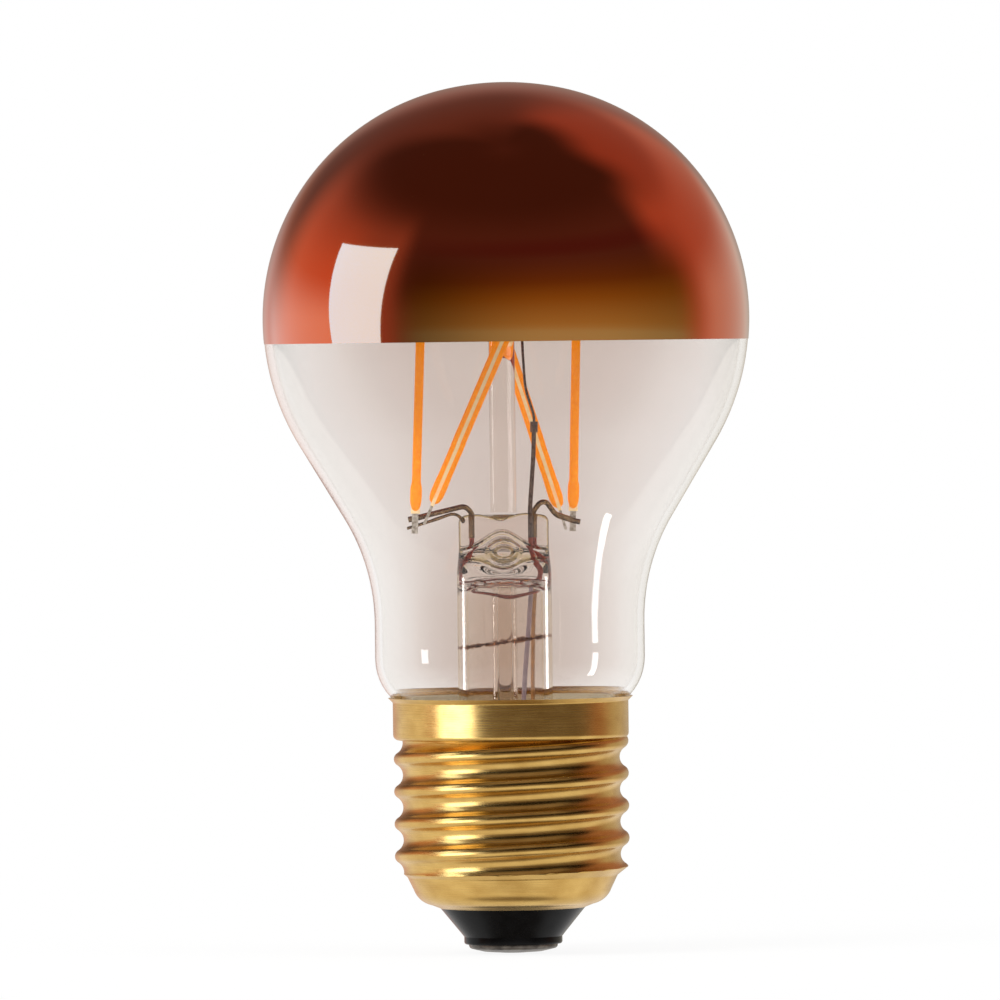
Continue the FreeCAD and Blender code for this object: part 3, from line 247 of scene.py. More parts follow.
thread = bpy.data.node_groups.new("thread_rolling", "GeometryNodeTree")
thread.interface.new_socket("Geometry", in_out="INPUT", socket_type="NodeSocketGeometry")
for name in (*THREAD_SIZES, "Unit"):
    thread.interface.new_socket(name, in_out="INPUT", socket_type="NodeSocketFloat")
thread.interface.new_socket("Geometry", in_out="OUTPUT", socket_type="NodeSocketGeometry")
given = add(thread, "NodeGroupInput").outputs
position = add(thread, "GeometryNodeInputPosition").outputs[0]
in_mm = add(
    thread, "ShaderNodeVectorMath", {0: position, "Scale": given["Unit"]}, operation="SCALE",
)
axes = add(thread, "ShaderNodeSeparateXYZ", {0: in_mm.outputs[0]}).outputs
inset = add(
    thread, "GeometryNodeInputNamedAttribute", {"Name": "inset"}, data_type="FLOAT",
).outputs["Attribute"]
# One sum to a row: its name, what it does, and what it takes, which is a size of the thread, an
# axis, a sum above it or a number
THREAD_SUMS = [
    # How far each point is, along the axis, from the nearest turn of the ridge
    ("angle", "ARCTAN2", "Y", "X"),
    ("turns", "DIVIDE", "angle", math.tau),
    ("over start", "SUBTRACT", "Z", "Start Height"),
    ("climb", "DIVIDE", "over start", "Pitch"),
    ("unwound", "SUBTRACT", "climb", "turns"),
    ("phase", "FRACT", "unwound"),
    ("above", "MULTIPLY", "phase", "Pitch"),
    ("below", "SUBTRACT", "Pitch", "above"),
    ("away", "MINIMUM", "above", "below"),
    # The ridge's height there: a tight arc over the crest that runs into a wide arc in the root
    ("on crest", "LESS_THAN", "away", "Crest Reach"),
    ("half pitch", "MULTIPLY", "Pitch", 0.5),
    ("from root", "SUBTRACT", "half pitch", "away"),
    ("crest for root", "SUBTRACT", "away", "from root"),
    ("from bend", "MULTIPLY_ADD", "on crest", "crest for root", "from root"),
    ("tighter", "SUBTRACT", "Crest Bend", "Root Bend"),
    ("bend", "MULTIPLY_ADD", "on crest", "tighter", "Root Bend"),
    ("bend squared", "MULTIPLY", "bend", "bend"),
    ("from bend squared", "MULTIPLY", "from bend", "from bend"),
    ("under arc", "SUBTRACT", "bend squared", "from bend squared"),
    ("arc", "SQRT", "under arc"),
    ("sag", "SUBTRACT", "bend", "arc"),
    ("both sags", "MULTIPLY", "sag", 2.0),
    ("to crest", "SUBTRACT", "Ridge Height", "both sags"),
    ("raised", "MULTIPLY_ADD", "on crest", "to crest", "sag"),
    ("ridge", "ADD", "raised", "Root Radius"),
    # The ridge sinks into the drum, and a point only ever moves outward
    ("over fade", "SUBTRACT", "Z", "Fade Height"),
    ("run out", "MULTIPLY_ADD", "over fade", "Fade Slope", "Fade Radius"),
    ("outside", "MINIMUM", "ridge", "run out"),
    ("reach", "SUBTRACT", "outside", "Inset"),
    ("y squared", "MULTIPLY", "Y", "Y"),
    ("radius squared", "MULTIPLY_ADD", "X", "X", "y squared"),
    ("radius now", "SQRT", "radius squared"),
    ("radius then", "MAXIMUM", "reach", "radius now"),
    ("swell", "DIVIDE", "radius then", "radius now"),
]
known = {**dict(given.items()), **dict(axes.items()), "Inset": inset}
for name, operation, *taken in THREAD_SUMS:
    operands = {i: known.get(operand, operand) for i, operand in enumerate(taken)}
    node = add(thread, "ShaderNodeMath", operands, operation=operation)
    known[name] = node.outputs[0]
spread = add(
    thread, "ShaderNodeCombineXYZ", {"X": known["swell"], "Y": known["swell"], "Z": 1.0},
)
rolled = add(
    thread, "ShaderNodeVectorMath", {0: position, 1: spread.outputs[0]}, operation="MULTIPLY",
)
shaped = add(
    thread, "GeometryNodeSetPosition",
    {"Geometry": given["Geometry"], "Position": rolled.outputs[0]},
)
realised = add(thread, "GeometryNodeRealizeInstances", {"Geometry": shaped.outputs[0]})
coated = add(
    thread, "GeometryNodeSetMaterial",
    {"Geometry": realised.outputs[0], "Material": rolled_brass},
)
add(thread, "NodeGroupOutput", {"Geometry": coated.outputs[0]})


def baked(blank, group, sizes):
    """The plain mesh that a node group makes of a blank object, which is then removed."""
    modifier = blank.modifiers.new("rule", "NODES")
    modifier.node_group = group
    for item in group.interface.items_tree:
        if item.in_out == "INPUT" and item.name in sizes:
            modifier[item.identifier] = sizes[item.name]
    seen = blank.evaluated_get(bpy.context.evaluated_depsgraph_get())
    mesh = bpy.data.meshes.new_from_object(seen)
    bpy.data.objects.remove(blank)
    return mesh


shell_mesh = baked(shell_blank, thread, {**THREAD_SIZES, "Unit": 1 / MM})
shell = piece("screw_shell", shell_mesh, rolled_brass, "cap_shell", sharp=50)

# Insulator
# The cone that plugs the shell's mouth is moulded in black glass-like resin. It holds the
# contact clear of the brass, and its glossy skin shows a soft edge at the step.

INSULATOR_OUTLINE = [
    (0.5, 0.95),
    (5.25, 0.95, 0.25, 1),
    (5.5, 1.2),
    (5.5, 1.8),
    (5.7, 2.05),
    (8.1, 5.0),
    (8.1, 5.3),
    (8.3, 5.38),
    (8.3, 6.5),
    (5.0, 6.5),
    (0.5, 1.9),
    (0.5, 0.95),
]
# Moulded black: a deep gloss that stays black when looked at squarely, with a soft edge of light
moulded_black, tree, shader, place = finish("moulded_black", Roughness=0.2, IOR=1.2)
tint(tree, shader, speckle(tree, place, 1.5), (0.3, "#070708"), (0.7, "#101011"))
relief(tree, shader, speckle(tree, place, 0.4), 0.01, 0.3)
piece(
    "moulded_insulator", turned(sample(INSULATOR_OUTLINE, 0.15)[:-1], 128), moulded_black,
    "cap_insulator", sharp=30,
)

# Centre contact
# A disc pressed from nickel-plated brass, crimped under the insulator. Its middle is flat
# where it meets the lampholder's spring, and the plating is satin and slightly stained.

CONTACT_OUTLINE = [
    (0, 0),
    (1.5, 0),
    (3.3, 0.13),
    (4.6, 0.42, 0.45, 1),
    (4.98, 0.8),
    (4.98, 0.94),
    (0, 0.94),
]
# Plated nickel: grey and satin, with brown stains and scratches that draw its gloss out. The
# scratches are coarser than real ones, which wouldn't show.
plated_nickel, tree, shader, place = finish("plated_nickel", Metallic=1.0)
tint(tree, shader, speckle(tree, place, 1.2), (0.35, "#4E4A46"), (0.65, "#77716A"))
scratches = speckle(tree, place, 0.15, (12, 1, 1))
rough = add(tree, "ShaderNodeMapRange", {"Value": scratches, "To Min": 0.3, "To Max": 0.5})
tree.links.new(rough.outputs["Result"], shader.inputs["Roughness"])
relief(tree, shader, scratches, 0.01, 0.4)
piece(
    "contact_disc", turned(sample(CONTACT_OUTLINE, 0.12), 96), plated_nickel,
    "centre_contact", sharp=40,
)

# Driver in the cap
# A small glass-fibre board stands across the cap with a rectifier, a driver chip, a choke, a
# sleeved capacitor and a lacquered fuse resistor. The brass hides it, so it stays plain.

# Resins, laminate, lacquer, cement and wire insulation: plain, dull and slightly grained
INSIDE_FINISHES = {
    # Material, dark and light tone, roughness, size of grain in mm, slot
    "driver_board": ("glass_fibre_laminate", "#2C5A34", "#3A6B40", 0.5, 0.5, "board_laminate"),
    "bridge_rectifier": ("moulded_epoxy", "#101011", "#1C1C1E", 0.55, 0.2, "black_resin"),
    "driver_chip": ("moulded_epoxy", "#101011", "#1C1C1E", 0.55, 0.2, "black_resin"),
    "choke": ("sleeved_ferrite", "#232326", "#34343A", 0.6, 0.3, "ferrite"),
    "smoothing_capacitor": ("shrunk_sleeve", "#1A2230", "#26324A", 0.3, 0.6, "capacitor_sleeve"),
    "fuse_resistor": ("lacquered_ceramic", "#4E7A6C", "#64907F", 0.45, 0.3, "resistor_coat"),
    "basing_cement": ("basing_cement", "#C6BA9E", "#DDD3BA", 0.9, 0.25, "cement"),
    "lead_wire_riser": ("grey_insulation", "#8A7A86", "#A898A4", 0.45, 0.8, "grey_lead"),
    "lead_wire_arms": ("brown_insulation", "#9A6A3E", "#BC8C58", 0.45, 0.8, "brown_lead"),
}


def dress(node, material):
    """Give a CAD node its material."""
    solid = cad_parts[node]
    solid.data.materials.clear()
    solid.data.materials.append(material)


made_finishes = {}
for node, (name, dark, light, roughness, grain_mm, slot) in INSIDE_FINISHES.items():
    if name not in made_finishes:
        made_finishes[name], tree, shader, place = finish(name, Roughness=roughness)
        grain = speckle(tree, place, grain_mm)
        tint(tree, shader, grain, (0.3, dark), (0.7, light))
        relief(tree, shader, grain, 0.03, 0.4)
    dress(node, made_finishes[name])

# Mount wires
# Nickel and nickel-iron wire, cut and bent by hand tools and spot-welded. Its dark brown is
# painted shade, the weld tabs stay bright, and the copper-clad seal wires burnt dark red.

# Bare wire: mirror-like along one line and dark beside it. The dark brown tones of the nickel and
# nickel-iron wires are painted shade for the dark room that bare metal would reflect. Its grain
# is coarser than the real one, which wouldn't show.
WIRE_FINISHES = {
    # Dark and light tone, roughness, slot, wires
    # Painted shade: dark brown tones that stand for the dark room the bare wire would reflect
    "nickel_with_painted_shade": ("#6E5238", "#A98E68", 0.24, "nickel_wire", (
        "left_arm_wire", "right_arm_wire", "left_arm_strand", "top_head_wire",
    )),
    # Painted shade as well, darker still
    "nickel_iron_with_painted_shade": ("#4A3A34", "#7C6A60", 0.3, "nickel_wire", (
        "riser_lower_wire", "riser_upper_wire", "riser_weld", "shell_wire",
    )),
    "welded_nickel_tab": ("#A39A8C", "#E4DFD4", 0.28, "nickel_wire", (
        "strip_foot_tabs", "strip_head_tabs",
    )),
    "burnt_copper_clad": ("#7A2A1C", "#B4503A", 0.38, "copper_clad_wire", (
        "seal_wire_left", "seal_wire_riser", "seal_wire_right", "stem_jumper",
    )),
}
for name, (dark, light, roughness, slot, nodes) in WIRE_FINISHES.items():
    skin, tree, shader, place = finish(name, Metallic=1.0, Roughness=roughness)
    drawn = speckle(tree, place, 0.3)
    tint(tree, shader, drawn, (0.35, dark), (0.65, light))
    relief(tree, shader, drawn, 0.02, 0.3)
    for node in nodes:
        dress(node, skin)

# Glass mount: stem, exhaust tube and centre rod
# Lead-free glass tube, flared and melted to the neck below, and pressed flat while soft round
# the wires above. A puff of air through the press left the vent with its raised ring.

MOUNT_X = -0.54
TUBE_RADIUS = 5.3
STEM_BORE = 4.3
BORE_FLARE = 4.9
BORE_TOP = 42.2
BORE_TOP_ROUND = 2.2
FLARE_LAND = 9.2
FLARE_FOOT = 19.0
FLARE_TOP = 20
FLARE_RIM = 11.2
PRESS_HALF_WIDTH = 5.05
PRESS_HALF_DEPTH = 1.8
PRESS_START = 42.3
PRESS_FULL = 45.6
PRESS_TOP = 49.4
TOP_EDGE_START = 48.55
TOP_EDGE_ROUND = 0.85
VENT_HEIGHT = 44.97
VENT_RING = (1.7, 1.25)
VENT_PIT = (1.25, 0.75)
# Foot's height over the vent, rise to the middle, middle and half width of each arched line
JAW_EDGE = (0.1, 2.1, -0.2, 2.6)
BORE_EDGE = (-0.9, -1.1, -0.1, 1.9)
RELIEF_FADE = (42.5, 43.3)
RELIEF_MARGIN = 0.6
SAG_START = 47.7
SAG_DEPTH = 0.28
STAIN_HEIGHT = 34.87
STAIN_SLOPE = 0.125
STAIN_HALF_WIDTHS = (0.04, 0.26)
AROUND_STEM = 256
RING_ROWS = [
    # First height and step in mm, and how many: up the tube, over the press and above it
    (FLARE_TOP, 0.35, 64),
    (42.4, 0.07, 76),
    (47.72, 0.13, 7),
]


def smooth(value, low, high):
    """0 below low, 1 above high, and an even S between."""
    share = min(1.0, max(0.0, (value - low) / (high - low)))
    return share * share * (3 - 2 * share)


def stem_ring(height):
    """Half width, half depth and squareness of the stem's outside at a height."""
    turn = FLARE_LAND - TUBE_RADIUS
    if height < FLARE_TOP + turn:
        drop = FLARE_TOP + turn - height
        radius = FLARE_LAND - math.sqrt(max(0.0, turn ** 2 - drop ** 2))
        return radius, radius, 2.0
    share = smooth(height, PRESS_START, PRESS_FULL)
    rounding = min(1.0, max(0.0, (height - TOP_EDGE_START) / TOP_EDGE_ROUND))
    tuck = TOP_EDGE_ROUND * (1 - math.sqrt(max(0.0, 1 - rounding ** 2)))
    wide = TUBE_RADIUS + (PRESS_HALF_WIDTH - TUBE_RADIUS) * share
    deep = TUBE_RADIUS + (PRESS_HALF_DEPTH - TUBE_RADIUS) * share
    return wide - tuck, deep - tuck, 2.0 + 2.2 * share


def line_relief(away, proud, width):
    """The height of a soft raised line, this proud in mm and down to a third at this width."""
    return proud * math.exp(-((away / width) ** 2))


def arch(x, foot, rise, middle, half_width):
    """The height in mm of an arched line on the press."""
    return VENT_HEIGHT + foot + rise * math.exp(-(((x - middle) / half_width) ** 2))


def press_relief(x, z):
    """How far the press stands out of its plain shape in mm: the vent's ring and pit, the edge
    that the jaws left above it, and the top of the tube's bore below it."""
    ring = math.hypot(x / VENT_RING[0], (z - VENT_HEIGHT) / VENT_RING[1])
    pit = math.hypot(x / VENT_PIT[0], (z - VENT_HEIGHT) / VENT_PIT[1])
    return (
        line_relief((ring - 1) * 1.4, 0.5, 0.24)
        + line_relief(z - arch(x, *JAW_EDGE), 0.4, 0.2)
        + line_relief(z - arch(x, *BORE_EDGE), 0.3, 0.18)
        - 0.9 * (1 - smooth(pit, 0.6, 1.0))
    )


# Rings up the stem: wide apart along the tube, close over the press, and round its top edge
heights = [first + step * i for first, step, count in RING_ROWS for i in range(count)]
heights += [
    TOP_EDGE_START + TOP_EDGE_ROUND * math.sin(math.radians(7.5 * i)) for i in range(1, 13)
]
stem = bmesh.new()
rings = []
for height in heights:
    wide, deep, square = stem_ring(height)
    ring = []
    for i in range(AROUND_STEM):
        angle = math.tau * i / AROUND_STEM
        lean = (abs(math.cos(angle)) ** square + abs(math.sin(angle)) ** square) ** (-1 / square)
        x = wide * lean * math.cos(angle)
        y = deep * lean * math.sin(angle)
        flat = smooth(height, *RELIEF_FADE) * smooth(-abs(x), -wide, RELIEF_MARGIN - wide)
        y += math.copysign(press_relief(x, height) * flat, y)
        wave = 1 - math.sin(0.9 * x - 1.1) * math.cos(0.35 * x)
        sag = SAG_DEPTH * smooth(height, SAG_START, PRESS_TOP) * wave
        ring.append(stem.verts.new(((x + MOUNT_X) * MM, y * MM, (height - sag) * MM)))
    rings.append(ring)
bore_foot = FLARE_FOOT + BORE_FLARE
inside = sample([(FLARE_LAND, FLARE_FOOT, BORE_FLARE, 1), (STEM_BORE, bore_foot)], 0.5)
inside += sample([
    (STEM_BORE, bore_foot + 0.5),
    (STEM_BORE, BORE_TOP - BORE_TOP_ROUND, BORE_TOP_ROUND, 1),
    (STEM_BORE - BORE_TOP_ROUND, BORE_TOP),
], 0.2)
inside_rings = []
for r, z in inside:
    inside_rings.append([
        stem.verts.new((
            (r * math.cos(math.tau * i / AROUND_STEM) + MOUNT_X) * MM,
            r * math.sin(math.tau * i / AROUND_STEM) * MM,
            z * MM,
        ))
        for i in range(AROUND_STEM)
    ])
rim = [
    stem.verts.new((
        FLARE_RIM * math.cos(math.tau * i / AROUND_STEM) * MM,
        FLARE_RIM * math.sin(math.tau * i / AROUND_STEM) * MM,
        z * MM,
    ))
    for z in (FLARE_FOOT, FLARE_TOP) for i in range(AROUND_STEM)
]
chain = inside_rings[::-1] + [rim[:AROUND_STEM], rim[AROUND_STEM:]] + rings
for low, high in zip(chain, chain[1:]):
    for i in range(AROUND_STEM):
        j = (i + 1) % AROUND_STEM
        stem.faces.new((low[i], low[j], high[j], high[i]))
stem.faces.new(chain[0])
stem.faces.new(chain[-1])
bmesh.ops.recalc_face_normals(stem, faces=stem.faces)

# Stem glass: clear where it is looked through squarely, with a painted olive and brown edge shade
# where an edge turns away, most of all in the press. A line of burnt wire stain runs round the
# tube.
stem_glass, tree, shader, place = finish(
    "flame_worked_glass", Roughness=0.0, IOR=1.51, Transmission_Weight=1.0,
)
axes = add(tree, "ShaderNodeSeparateXYZ", {0: place}).outputs
# Painted shade: the glass turns olive and brown where its surface turns away from the eye, more
# strongly over the press
pressed = add(tree, "ShaderNodeMapRange", {
    "Value": axes["Z"], "From Min": PRESS_START * MM, "From Max": (PRESS_START + 1) * MM,
    "To Min": 0.7, "To Max": 1.5,
})
turned_away = add(tree, "ShaderNodeLayerWeight", {"Blend": 0.5}).outputs["Facing"]
edge = add(
    tree, "ShaderNodeMath", {0: turned_away, 1: pressed.outputs["Result"]}, operation="MULTIPLY",
)
painted_edge_shade = add(tree, "ShaderNodeValToRGB", {"Fac": edge.outputs[0]}, [
    (0.0, "#F3ECE6"), (0.4, "#FAF7F2"), (0.6, "#E0CF98"), (0.82, "#94783A"), (1.0, "#5E4722"),
])
stain_plane = add(
    tree, "ShaderNodeMath", {0: axes["X"], 1: -STAIN_SLOPE, 2: axes["Z"]},
    operation="MULTIPLY_ADD",
)
from_stain = add(
    tree, "ShaderNodeMath", {0: stain_plane.outputs[0], 1: STAIN_HEIGHT * MM},
    operation="SUBTRACT",
)
off_stain = add(tree, "ShaderNodeMath", {0: from_stain.outputs[0]}, operation="ABSOLUTE")
stain_width = add(tree, "ShaderNodeMapRange", {
    "Value": speckle(tree, place, 0.9), "From Min": 0.4, "From Max": 0.62,
    "To Min": STAIN_HALF_WIDTHS[0] * MM, "To Max": STAIN_HALF_WIDTHS[1] * MM,
})
stain = add(
    tree, "ShaderNodeMath", {0: off_stain.outputs[0], 1: stain_width.outputs["Result"]},
    operation="LESS_THAN",
)
stained = add(
    tree, "ShaderNodeMix",
    {"Factor": stain.outputs[0], "A": painted_edge_shade.outputs["Color"], "B": linear("#6B3A1E")},
    data_type="RGBA",
)
tree.links.new(stained.outputs["Result"], shader.inputs["Base Color"])
relief(tree, shader, speckle(tree, place, 3.0, (1, 1, 4), 1.0), 0.05, 0.25)
stem_piece = piece("pressed_stem", stem, stem_glass, "stem_flare", sharp=40)
stem_piece.visible_shadow = False

# Drawn glass: tube and rod straight from the machine, clear, with a faint olive painted edge
# shade
drawn_glass, tree, shader, place = finish(
    "drawn_glass", Roughness=0.0, IOR=1.22, Transmission_Weight=1.0,
)
turned_away = add(tree, "ShaderNodeLayerWeight", {"Blend": 0.5}).outputs["Facing"]
tint(
    tree, shader, turned_away,
    (0.0, "#F6F1EC"), (0.75, "#FAF7F2"), (0.92, "#C8B682"), (1.0, "#8C7644"),
)

EXHAUST_OUTLINE = [
    (0.75, 42.15),
    (0.75, 18.6),
    (0, 17.24),
    (0, 14.5, 0.7, 1),
    (0.69, 15.1),
    (1.37, 17.24),
    (1.37, 42.15),
]
exhaust = turned(sample(EXHAUST_OUTLINE, 0.4), 64)
bmesh.ops.translate(exhaust, verts=exhaust.verts, vec=(MOUNT_X * MM, 0, 0))
tube = piece("tipped_exhaust_tube", exhaust, drawn_glass, "exhaust_tube", sharp=40)
tube.visible_shadow = False

ROD_OUTLINE = [
    (0, 49.42),
    (1.45, 49.42),
    (1.45, 83.27, 1.9, 1),
    (0, 86.4),
]
rod = turned(sample(ROD_OUTLINE, 0.3), 64)
bmesh.ops.translate(rod, verts=rod.verts, vec=(MOUNT_X * MM, 0, 0))
rod_piece = piece("centre_rod_glass", rod, drawn_glass, "centre_rod", sharp=40)
rod_piece.visible_shadow = False

# Light strips
# Each strip is a thin bar of white ceramic with chips along it, and on each face a bead of
# orange silicone full of phosphor. The bead is domed, soft to the eye and thicker at its ends.

STRIP_LENGTH = 33.0
BEAD_BASE = 0.2
BEAD_HALF_WIDTH = 0.5
BEAD_HEIGHT = 0.56
BEAD_END_ROUND = 1.5
END_SWELL_WIDTH = 0.15
END_SWELL_HEIGHT = 0.04
END_SWELL_SPAN = (2.5, 3.3)
BEAD_ROWS = 60
BEAD_ARC = 12
STRIP_STANDS = {
    # Foot in mm from the mount's axis, head across, and turn about its own length in degrees
    "left_upright": ((-9.8, -3.8, 49.7), (-8.5, -2.6), 90),
    "left_slanted": ((-7.84, -3.4, 50.5), (5.5, -2.2), 0),
    "right_slanted": ((6.27, 3.4, 49.8), (-3.65, 2.2), 0),
    "right_upright": ((7.84, 3.8, 49.7), (8.8, 2.6), 90),
}
# Phosphor silicone: strong orange and soft, with an orange emission as a painted glow
phosphor, tree, shader, place = finish(
    "phosphor_silicone", Roughness=0.34, IOR=1.2, Emission_Color=linear("#F08E00"),
    Emission_Strength=0.7,
)
tint(
    tree, shader, speckle(tree, place, 0.35),
    (0.3, "#E07400"), (0.55, "#EC8A00"), (0.75, "#F2A020"),
)
relief(tree, shader, speckle(tree, place, 0.25), 0.04, 0.5)
# Sintered ceramic: a pale cream line between the beads, with a cream emission as a painted glow
carrier_ceramic, tree, shader, place = finish(
    "sintered_ceramic", Roughness=0.5, Emission_Color=linear("#F6D9A0"), Emission_Strength=0.45,
)
tint(tree, shader, speckle(tree, place, 0.5), (0.3, "#E5C793"), (0.7, "#F1DCB4"))


def strip_frame(name):
    """The foot and the three directions of a strip: out of its face, across it and along it."""
    (x, y, z), (head_x, head_y), roll = STRIP_STANDS[name]
    run = Vector((head_x - x, head_y - y))
    rise = math.sqrt(STRIP_LENGTH ** 2 - run.length_squared)
    along = Vector((run.x, run.y, rise)).normalized()
    upright = Vector((0, 0, 1))
    lean = upright.rotation_difference(along)
    turn = math.radians(roll)
    out = lean @ Vector((math.cos(turn), math.sin(turn), 0))
    across = lean @ Vector((-math.sin(turn), math.cos(turn), 0))
    return Vector((x + MOUNT_X, y, z)), out, across, along


def bead(mesh, name, side):
    """One domed bead of silicone on one face of a strip."""
    foot, out, across, along = strip_frame(name)
    rows = []
    for step in range(BEAD_ROWS + 1):
        share = step / BEAD_ROWS
        s = STRIP_LENGTH * (share - math.sin(math.tau * share) / math.tau * 0.6)
        end = min(s, STRIP_LENGTH - s)
        taper = math.sqrt(max(0.0, 1 - max(0.0, 1 - end / BEAD_END_ROUND) ** 2))
        swell = 1 - smooth(end, *END_SWELL_SPAN)
        half = (BEAD_HALF_WIDTH + END_SWELL_WIDTH * swell) * (0.2 + 0.8 * taper)
        height = (BEAD_HEIGHT + END_SWELL_HEIGHT * swell) * taper
        row = []
        for i in range(BEAD_ARC + 1):
            angle = math.pi * i / BEAD_ARC
            wide = half * math.copysign(abs(math.cos(angle)) ** 0.7, math.cos(angle))
            high = BEAD_BASE + height * math.sin(angle) ** 0.7
            point = foot + across * wide + out * (side * high) + along * s
            row.append(mesh.verts.new(point * MM))
        rows.append(row)
    for low, high in zip(rows, rows[1:]):
        for i in range(BEAD_ARC + 1):
            j = (i + 1) % (BEAD_ARC + 1)
            mesh.faces.new((low[i], low[j], high[j], high[i]))
    mesh.faces.new(rows[0])
    mesh.faces.new(rows[-1])


for name in STRIP_STANDS:
    beads = bmesh.new()
    bead(beads, name, 1)
    bead(beads, name, -1)
    bmesh.ops.recalc_face_normals(beads, faces=beads.faces)
    piece(f"silicone_beads_{name}", beads, phosphor, f"strip_coat_{name}", sharp=50)
    dress(f"strip_carrier_{name}", carrier_ceramic)

# Glass bulb
# Soda-lime glass blown in a mould, about 0.8 mm thick, clear and fire-polished. Its neck is
# tucked in below to enter the cap, and slow waves from blowing bend what is seen through it.

BULB_RADIUS = 27.2
BULB_CENTRE = 71.0
FLATTENING = 3.2
SHOULDER = 0.9
FLANK = math.radians(31)
NECK_RADIUS = 15.1
NECK_BLEND = 22.8
TUCK_HEIGHT = 33.0
TUCK_RADIUS = 6.3
TUCK_TURN = math.radians(57.3)
NECK_END = (11.2, 20.02)
CROWN_LEAN = FLATTENING + SHOULDER
CROWN_DROP = math.sqrt(CROWN_LEAN ** 2 - SHOULDER ** 2)


def dome_outline(inset):
    """The outline in mm from the crown's middle to the widest ring, moved in by a wall."""
    radius = BULB_RADIUS + FLATTENING - inset
    return [
        (0, BULB_CENTRE - CROWN_DROP + radius, radius, -1),
        (
            radius * SHOULDER / CROWN_LEAN,
            BULB_CENTRE - CROWN_DROP + radius * CROWN_DROP / CROWN_LEAN,
            BULB_RADIUS - SHOULDER - inset,
            -1,
        ),
        (BULB_RADIUS - inset, BULB_CENTRE, BULB_RADIUS - inset, -1),
    ]


def neck_outline(inset):
    """The outline in mm from the ball's lower edge to the neck's end, moved in by a wall."""
    ball = BULB_RADIUS - inset
    blend = NECK_BLEND + inset
    tuck = TUCK_RADIUS - inset
    run = (
        BULB_RADIUS * math.cos(FLANK) - NECK_RADIUS - NECK_BLEND * (1 - math.cos(FLANK))
    ) / math.sin(FLANK)
    blend_height = (
        BULB_CENTRE - (BULB_RADIUS + NECK_BLEND) * math.sin(FLANK) - run * math.cos(FLANK)
    )
    return [
        (ball * math.cos(FLANK), BULB_CENTRE - ball * math.sin(FLANK)),
        (
            NECK_RADIUS + NECK_BLEND - blend * math.cos(FLANK),
            blend_height + blend * math.sin(FLANK),
            blend,
            1,
        ),
        (NECK_RADIUS - inset, blend_height),
        (NECK_RADIUS - inset, TUCK_HEIGHT, tuck, -1),
        (
            NECK_RADIUS - TUCK_RADIUS + tuck * math.cos(TUCK_TURN),
            TUCK_HEIGHT - tuck * math.sin(TUCK_TURN),
        ),
        (NECK_END[0] - inset, NECK_END[1]),
    ]


GLASS_WALL = 0.8
WALL_STEP = 0.8
outer_wall = sample(dome_outline(0) + neck_outline(0), WALL_STEP)
inner_wall = sample(dome_outline(GLASS_WALL) + neck_outline(GLASS_WALL), WALL_STEP)
# Bulb glass: painted shade in a rose-grey tone where it is looked through squarely, lighter to
# the sides, and a thin brown painted edge shade at the outline
blown_glass, tree, shader, place = finish(
    "blown_soda_lime_glass", Roughness=0.0, IOR=1.32, Transmission_Weight=1.0,
)
turned_away = add(tree, "ShaderNodeLayerWeight", {"Blend": 0.5}).outputs["Facing"]
tint(
    tree, shader, turned_away,
    (0.0, "#E4DBD5"), (0.1, "#E6DDD8"), (0.3, "#F5F1EE"), (0.5, "#FAF8F6"), (0.85, "#F4F2EE"),
    (0.95, "#B8AE9A"), (1.0, "#6E6450"),
)
relief(tree, shader, speckle(tree, place, 9.0, (1, 1, 1.6), 0.0), 0.12, 0.2)
bulb = piece(
    "blown_bulb", turned(outer_wall + inner_wall[::-1], 192), blown_glass,
    "glass_envelope", sharp=60,
)
bulb.visible_shadow = False

# Mirrored crown
# A copper-coloured mirror film laid on the upper half of the bulb in a vacuum, under a clear
# lacquer. It ends in a clean masked edge just below the widest ring.

MIRROR_EDGE = 68.4
FILM_INSIDE = 0.02
FILM_OUTSIDE = 0.058


def film_outline(standing_off):
    """The film's outline in mm, this far outside the glass, down to its masked edge."""
    reach = BULB_RADIUS + standing_off
    edge = (math.sqrt(reach ** 2 - (BULB_CENTRE - MIRROR_EDGE) ** 2), MIRROR_EDGE)
    return sample(dome_outline(-standing_off) + [edge], 0.7)


# Copper mirror film: a near perfect mirror in deep copper, with the lacquer's clear gloss on top
copper_film, tree, shader, place = finish(
    "copper_mirror_film", Metallic=1.0, Roughness=0.05, Coat_Weight=1.0, Coat_Roughness=0.02,
    Coat_IOR=1.5,
)
deposit = speckle(tree, place, 14.0, detail=1.0)
tint(tree, shader, deposit, (0.3, "#DA5F2B"), (0.7, "#DD6430"))
crown = piece(
    "copper_crown", turned(film_outline(FILM_OUTSIDE) + film_outline(FILM_INSIDE)[::-1], 192),
    copper_film, "crown_mirror", sharp=60,
)

# Studio in the reflections
# A small studio as a curved mirror shows it: a dark room in front, white walls behind and at the
# sides, and a pale floor below. It is a dome round the bulb that only glossy rays see.

